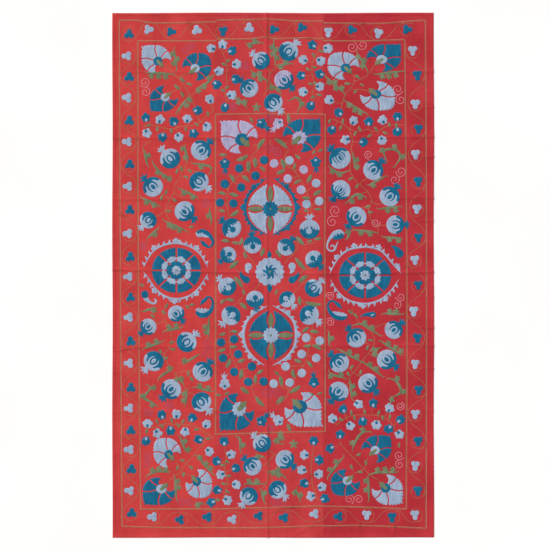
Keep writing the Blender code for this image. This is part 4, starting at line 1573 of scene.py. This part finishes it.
def quarter(x, y, turn, inner, outer, leaf_half):
    """A quarter of a field medallion: its two straight sides give way to the leaves on the axes."""
    outline = []
    for step in range(9):
        u = between(inner, outer * 0.97, step / 8)
        leaf_share = min(1.0, max(0.0, (u - 2.6) / (outer - 1.8)))
        outline.append((u, leaf_half * math.sin(math.pi * leaf_share) ** 0.8 + 0.45))
    sides = outline[8::-1]
    start = bearing((0, 0), outline[-1])
    scallops = 9
    edge = scallops * SCALLOP_STEPS
    for step in range(1, edge):
        share = step / edge
        reach = outer * (0.955 + 0.045 * scallop(scallops, share))
        outline.append(polar(reach, between(start, 90 - start, share)))
    outline += [(v, u) for u, v in sides]
    if turn % 180:
        outline = [(u * (1 + 0.13 * (u / outer) ** 6 * (1 if u > v else 0)), v) for u, v in outline]
    else:
        outline = [(u, v * (1 + 0.13 * (v / outer) ** 6 * (1 if v > u else 0))) for u, v in outline]
    return placed(outline, x, y, turn)


FieldMedallion = namedtuple("FieldMedallion", "x y quarters heart ring left right")
FIELD_MEDALLIONS = (
    FieldMedallion(-1.5, 29.4, "pale", "blue", "blue",
                   left=path("-3 43.3 -7.4 39.4 -11.2 35.4 -12.6 29.6 -11.3 24.4 -7.8 20.8 -3 17.8"),
                   right=path("0 43.3 4.6 39.4 8.4 35.4 9.8 29.6 8.4 24.4 4.6 20.8 -1 17.5")),
    FieldMedallion(-1.2, -26.2, "blue", "pale", "pale",
                   left=path("-2.8 -13.3 -7.6 -16 -11.7 -19.8 -13.3 -25.4 -12.2 -31.4 -8.6 -36.2 -4 -39.5"),
                   right=path("-0.5 -13 4.8 -16 8.8 -20 9.9 -25.4 9 -31.4 5.2 -36.2 -0.5 -39.5")),
)


def stitch_field_medallion(form):
    """A round medallion: four scalloped quarters, four green leaves, a rosette and a thorny ring."""
    x, y = form.x, form.y
    for k in range(4):
        lay(form.quarters, quarter(x, y, 90 * k, 2.6, 9.8, 1.45))
        ends = placed([(3.0, 0), (9.9, 0)], x, y, 90 * k)
        lay("green", stroke(ends, lambda t: 2.35 * math.sin(math.pi * min(1, 0.03 + 0.95 * t)) ** 0.7, 0.5))
    lay(form.heart, placed(rosette(3.45, 12, 0.14), x, y), 2)
    lay("green", placed(oval(0.55, 0.6, 12), x, y), 3)
    thorns = [(between(0.08, 0.92, k / 13), 1.45) for k in range(14)]
    buds = ((0.2, 0.95), (0.5, 1.05), (0.8, 0.95))
    thorny_arc(form.left, form.ring, 1.1, thorns, buds, -1, 1.5)
    thorny_arc(form.right, form.ring, 1.1, thorns, buds, 1, 1.5)


# Comma shapes, by the places of their tails and heads
DROPS = table("tail_x tail_y head_x head_y width thread bend", """
-10.9 1 -11.1 4 3.2 pale 0.2; 7.1 0.9 8.1 4.2 3.2 pale -0.2; -14.8 2.2 -12 -1.8 3.2 blue -0.15;
11.1 1.8 8.1 -1.8 3.2 blue 0.15; 51.6 13.2 55.3 9.8 3.8 blue 0.12; 37.9 -18 43.7 -17.1 2.7 blue 0.08
""")


def stitch_centre():
    """The rosette in the middle, with a swirling star, and the drops and diamonds about it."""
    x, y = -1.7, 1.7
    lay("pale", placed(rosette(6.2, 16, 0.15), x, y))
    for k in range(8):
        root, tip = placed([(0.6, 0), (3.5, 0.6)], x, y, 45 * k + 12)
        ray = [root, bent_middle(root, tip, 0.22), tip]
        lay("blue", stroke(ray, lambda t: 1.75 * (1 - t) ** 0.5, 0.35), 1)
    lay("blue", placed(oval(1.75, 1.75, 22), x, y), 2)
    lay("green", placed(oval(0.7, 0.8, 12), x, y), 3)
    lay("blue", path("-1.9 11.2 -2.9 9.6 -2.6 8 -1.2 8 -0.9 9.6"))
    lay("blue", path("-2.6 -3.6 -0.9 -3.7 -0.5 -5.6 -1.8 -7.6 -3 -5.6"))
    for row in DROPS:
        lay(row.thread, drop((row.tail_x, row.tail_y), (row.head_x, row.head_y), row.width, row.bend))
    lay("pale", placed(oval(1.0, 0.4, 14), 43.4, -17.2, 20), 1)


BOTEHS = (
    Boteh(thread="blue", patch_thread="pale",
          body=path("-33.9 18.8 -31.6 18.9 -28.8 18 -27 16 -26.9 13.8 -28.4 12.6 -30 12.9"),
          widths=(1.6, 3.5, 2.9, 1.6, 1.2, 0.9, 0.7),
          leaf=path("-28.8 12.8 -30.6 13.9 -32.3 15.7"),
          leaf_widths=(0.8, 1.9, 0.2),
          patch=path("-34.2 19 -33.1 17.7 -31.5 17.9 -30.2 17.5 -28.2 16.9"),
          patch_widths=(0.5, 1.4, 1.7, 1.1, 0.2),
          bumps=path("-31.6 18.7 -32.6 18.3")),
    Boteh(thread="blue", patch_thread="pale",
          body=path("-34.2 -15.9 -32.3 -16.8 -30 -16.8 -27.7 -15.2 -26.8 -12.6 -27.2 -10.2"
                    " -28.6 -9.3 -30.2 -9.9"),
          widths=(1.3, 3.3, 3.0, 2.2, 1.3, 1.0, 0.9, 0.8),
          leaf=path("-29 -9.7 -31 -11.2 -32.4 -13"),
          leaf_widths=(0.8, 1.9, 0.2),
          patch=path("-34.3 -14.8 -32.4 -15.4 -30.4 -15.6 -28.2 -14.8"),
          patch_widths=(0.8, 1.7, 1.6, 0.3),
          bumps=path("-33 -14.5 -31.5 -14.6 -30 -14.7")),
    Boteh(thread="pale", patch_thread="blue",
          body=path("30.9 17.9 28.7 18.7 26.4 18.1 24.6 16.2 23.6 13.9 23.8 11.8 25.3 10.9 26.9 11.6"
                    " 27.6 13.4 28.3 15"),
          widths=(1.9, 3.5, 2.6, 1.4, 0.95, 0.7, 0.65, 0.9, 0.6, 0.25),
          leaf=path("27 12.2 26.3 13.2 25.4 13.3 25.1 12.6"),
          leaf_widths=(0.7, 0.6, 0.5, 0.4),
          patch=path("25.9 16.3 27.4 16.7 29.2 17.2 30.8 17.7"),
          patch_widths=(0.7, 1.9, 2.2, 1.4),
          bumps=path("26.9 17.5 28.1 18.2 29.7 18.4")),
    Boteh(thread="blue", patch_thread="pale",
          body=path("32.3 -17.7 30.2 -18.2 27.6 -17.9 25.2 -16.4 23.9 -13.9 24.3 -11.8 26 -11.1 27.8 -11.9"),
          widths=(1.6, 3.1, 2.8, 2.0, 1.2, 0.9, 0.9, 0.8),
          leaf=path("26.8 -11.6 28.6 -12.9 30 -14.6"),
          leaf_widths=(0.8, 1.8, 0.2),
          patch=path("25.9 -15.9 28 -16.7 30.2 -17.1 32.2 -17.4"),
          patch_widths=(0.5, 1.6, 1.7, 0.9),
          bumps=path("27.3 -16.1 28.9 -16.3 30.6 -16.6")),
)


def stitch_botehs():
    """The four botehs, and a small one with a blue head."""
    for form in BOTEHS:
        boteh(form)
    tail = path("-57 -9 -55.9 -10.3 -54.4 -11.6 -52.9 -12.2 -51.9 -11.7 -51.8 -10.7 -52.6 -10.4")
    lay("pale", banded(tail, [1.3, 2.1, 1.5, 1.0, 0.9, 0.85, 0.7]))
    lay("blue", placed(oval(1.62, 1.75, 22), -56.7, -8.2), 1)
    leaf(-58.0, -4.2)


def stitch_main_motifs():
    for row in CARNATIONS:
        carnation(*row)
    for row in POMEGRANATES:
        pomegranate(*row[:-1], int(row.comb))
    for row in BERRIES:
        berry(*row)
    for row in CROWNED:
        crowned_flower(*row)
    for row in BLUE_FLOWERS:
        small_flower(*row, "blue", "pale")
    for row in PALE_FLOWERS:
        small_flower(*row, "pale", "blue")
    for row in CURLS:
        curl(*row)
    for row in SCROLLS:
        scroll(*row)


def stitch_leaves():
    """The curled sprigs, the plain leaves, those on side stalks, and two green stars."""
    for spine, lobes in courses(SPRIGS):
        sprig(spine, lobes)
    for row in LEAVES:
        root, tip = (row.x1, row.y1), (row.x2, row.y2)
        middle = bent_middle(root, tip, rng.uniform(-0.1, 0.1))
        width = min(1.9, 0.42 * math.dist(root, tip))
        lay("green", stroke([root, middle, tip], leaf_width(width), 0.45))
    for row in SMALL_LEAVES:
        leaf(*row)
    for x, y in ((-7.5, 74.0), (8.8, -74.0)):
        star = lobed([(72 * k + 18, 1.5, 0.55) for k in range(5)], 1.0)
        lay("green", placed(star, x, y))


def stitch_medallions():
    for form in SIDE_MEDALLIONS:
        stitch_side_medallion(form)
    for form in FIELD_MEDALLIONS:
        stitch_field_medallion(form)
    stitch_centre()


stitch_vines()
stitch_frame_lines()
stitch_border()
stitch_border_vines()
stitch_medallions()
stitch_main_motifs()
stitch_botehs()
stitch_leaves()

# The reds of the three lengths step darker from left to right. Part of that is their own dye, and part is
# painted light: brightest on the left and falling into painted shade on the right, though the lamp lights the
# cloth evenly.
left_cloth = handloom_cloth("vermilion_dye_with_painted_light", "#AE3034", "#C0393A", "#CC4542")
middle_cloth = handloom_cloth("madder_dye_with_painted_half_light", "#A82D33", "#BA363B", "#C64143")
right_cloth = handloom_cloth("crimson_dye_with_painted_shade", "#9E232D", "#AF2B35", "#BC363E")

cloth_length("cloth_left", "panel_left", -WIDTH / 2, SEAM_LEFT_X - SEAM_GAP / 2, left_cloth)
cloth_length("cloth_middle", "panel_middle",
             SEAM_LEFT_X + SEAM_GAP / 2, SEAM_RIGHT_X - SEAM_GAP / 2, middle_cloth)
cloth_length("cloth_right", "panel_right", SEAM_RIGHT_X + SEAM_GAP / 2, WIDTH / 2, right_cloth)

THREADS = {
    "blue": silk_floss("peacock_blue_silk_floss", "#004E70", "#005F82", "#046E92"),
    "pale": silk_floss("ice_blue_silk_floss", "#8093AC", "#92A4BD", "#A4B6CD"),
    "lilac": silk_floss("lilac_silk_floss", "#918DAE", "#A49FC0", "#B4B0CC"),
    "green": silk_floss("sage_green_silk_floss", "#5A684C", "#6A775A", "#7C876C"),
    "straw": silk_floss("straw_silk_floss", "#98785A", "#A8866A", "#B89678"),
    "olive": silk_floss("olive_silk_floss", "#66603C", "#766E4A", "#867C58"),
    "vine": silk_floss("tan_olive_silk_floss", "#7A6640", "#8C744E", "#9C845E"),
    "violet": silk_floss("violet_silk_floss", "#70466C", "#7E5078", "#8C5E86"),
    "pink": silk_floss("pink_silk_floss", "#BC8090", "#CA92A0", "#D6A2B0"),
}
sewing_thread = silk_floss("madder_sewing_thread", "#98282F", "#A83036", "#B43A3E", 0.7)
joined("hem_stitches", hem_stitches(), sewing_thread)
joined("seam_stitches", seam_stitches(), sewing_thread)
for thread, laid in pads.items():
    joined("pads_" + thread, [stitched_pad(outlines, layer) for outlines, layer in laid], THREADS[thread])
for thread, laid in rows_of_chain.items():
    joined("rows_" + thread, [chained_row(line, width) for line, width in laid], THREADS[thread])

# Floor, lights and camera

def plain_floor():
    """A pale painted studio floor: smooth and matt, a little uneven in tone."""
    material, tree, shader = shaded("matt_white_floor_paint", 0.7, 0.0, (1.0, 1.0, 1.0, 1.0), 0.2)
    place = add_node(tree, "ShaderNodeTexCoord").outputs["Object"]
    tone = streaks(tree, place, 0.5, 0.5).outputs["Fac"]
    colour = toned(tree, tone, ((0.3, "#F6F6F6"), (0.7, "#FBFBFB")))
    tree.links.new(colour.outputs["Color"], shader.inputs["Base Color"])
    mesh = bpy.data.meshes.new("floor")
    reach = 9.0
    mesh.from_pydata([(-reach, -reach, 0), (reach, -reach, 0), (reach, reach, 0), (-reach, reach, 0)],
                     [], [(0, 1, 2, 3)])
    mesh.materials.append(material)
    floor = bpy.data.objects.new("floor", mesh)
    bpy.context.scene.collection.objects.link(floor)


def window_light(name, direction, spread, strength, hex_code):
    """Light from one far window: even over the whole cloth, and low enough to bring out the creases."""
    lamp = bpy.data.lights.new(name, "SUN")
    lamp.angle = math.radians(spread)
    lamp.energy = strength
    lamp.color = linear_colour(hex_code)[:3]
    holder = bpy.data.objects.new(name, lamp)
    holder.location = Vector(direction) * 5.0
    holder.rotation_euler = Vector(direction).to_track_quat("Z", "Y").to_euler()
    bpy.context.scene.collection.objects.link(holder)


plain_floor()
window_light("key_light", (-1.0, 0.85, 0.66), 5.0, 3.0, "#FFF9F4")
world = bpy.data.worlds.new("studio_white")
world.use_nodes = True
world.node_tree.nodes["Background"].inputs["Color"].default_value = linear_colour("#FFFFFF")
world.node_tree.nodes["Background"].inputs["Strength"].default_value = 0.66
bpy.context.scene.world = world
bpy.context.scene.view_settings.view_transform = "Standard"

# Straight above, as the photograph was taken; the frame is 2.42 m wide
lens = bpy.data.cameras.new("camera")
lens.lens = 100.0
lens.sensor_width = 36.0
lens.clip_end = 100.0
camera = bpy.data.objects.new("camera", lens)
camera.location = (0.0081, 0.001, 6.722)
bpy.context.scene.collection.objects.link(camera)
bpy.context.scene.camera = camera
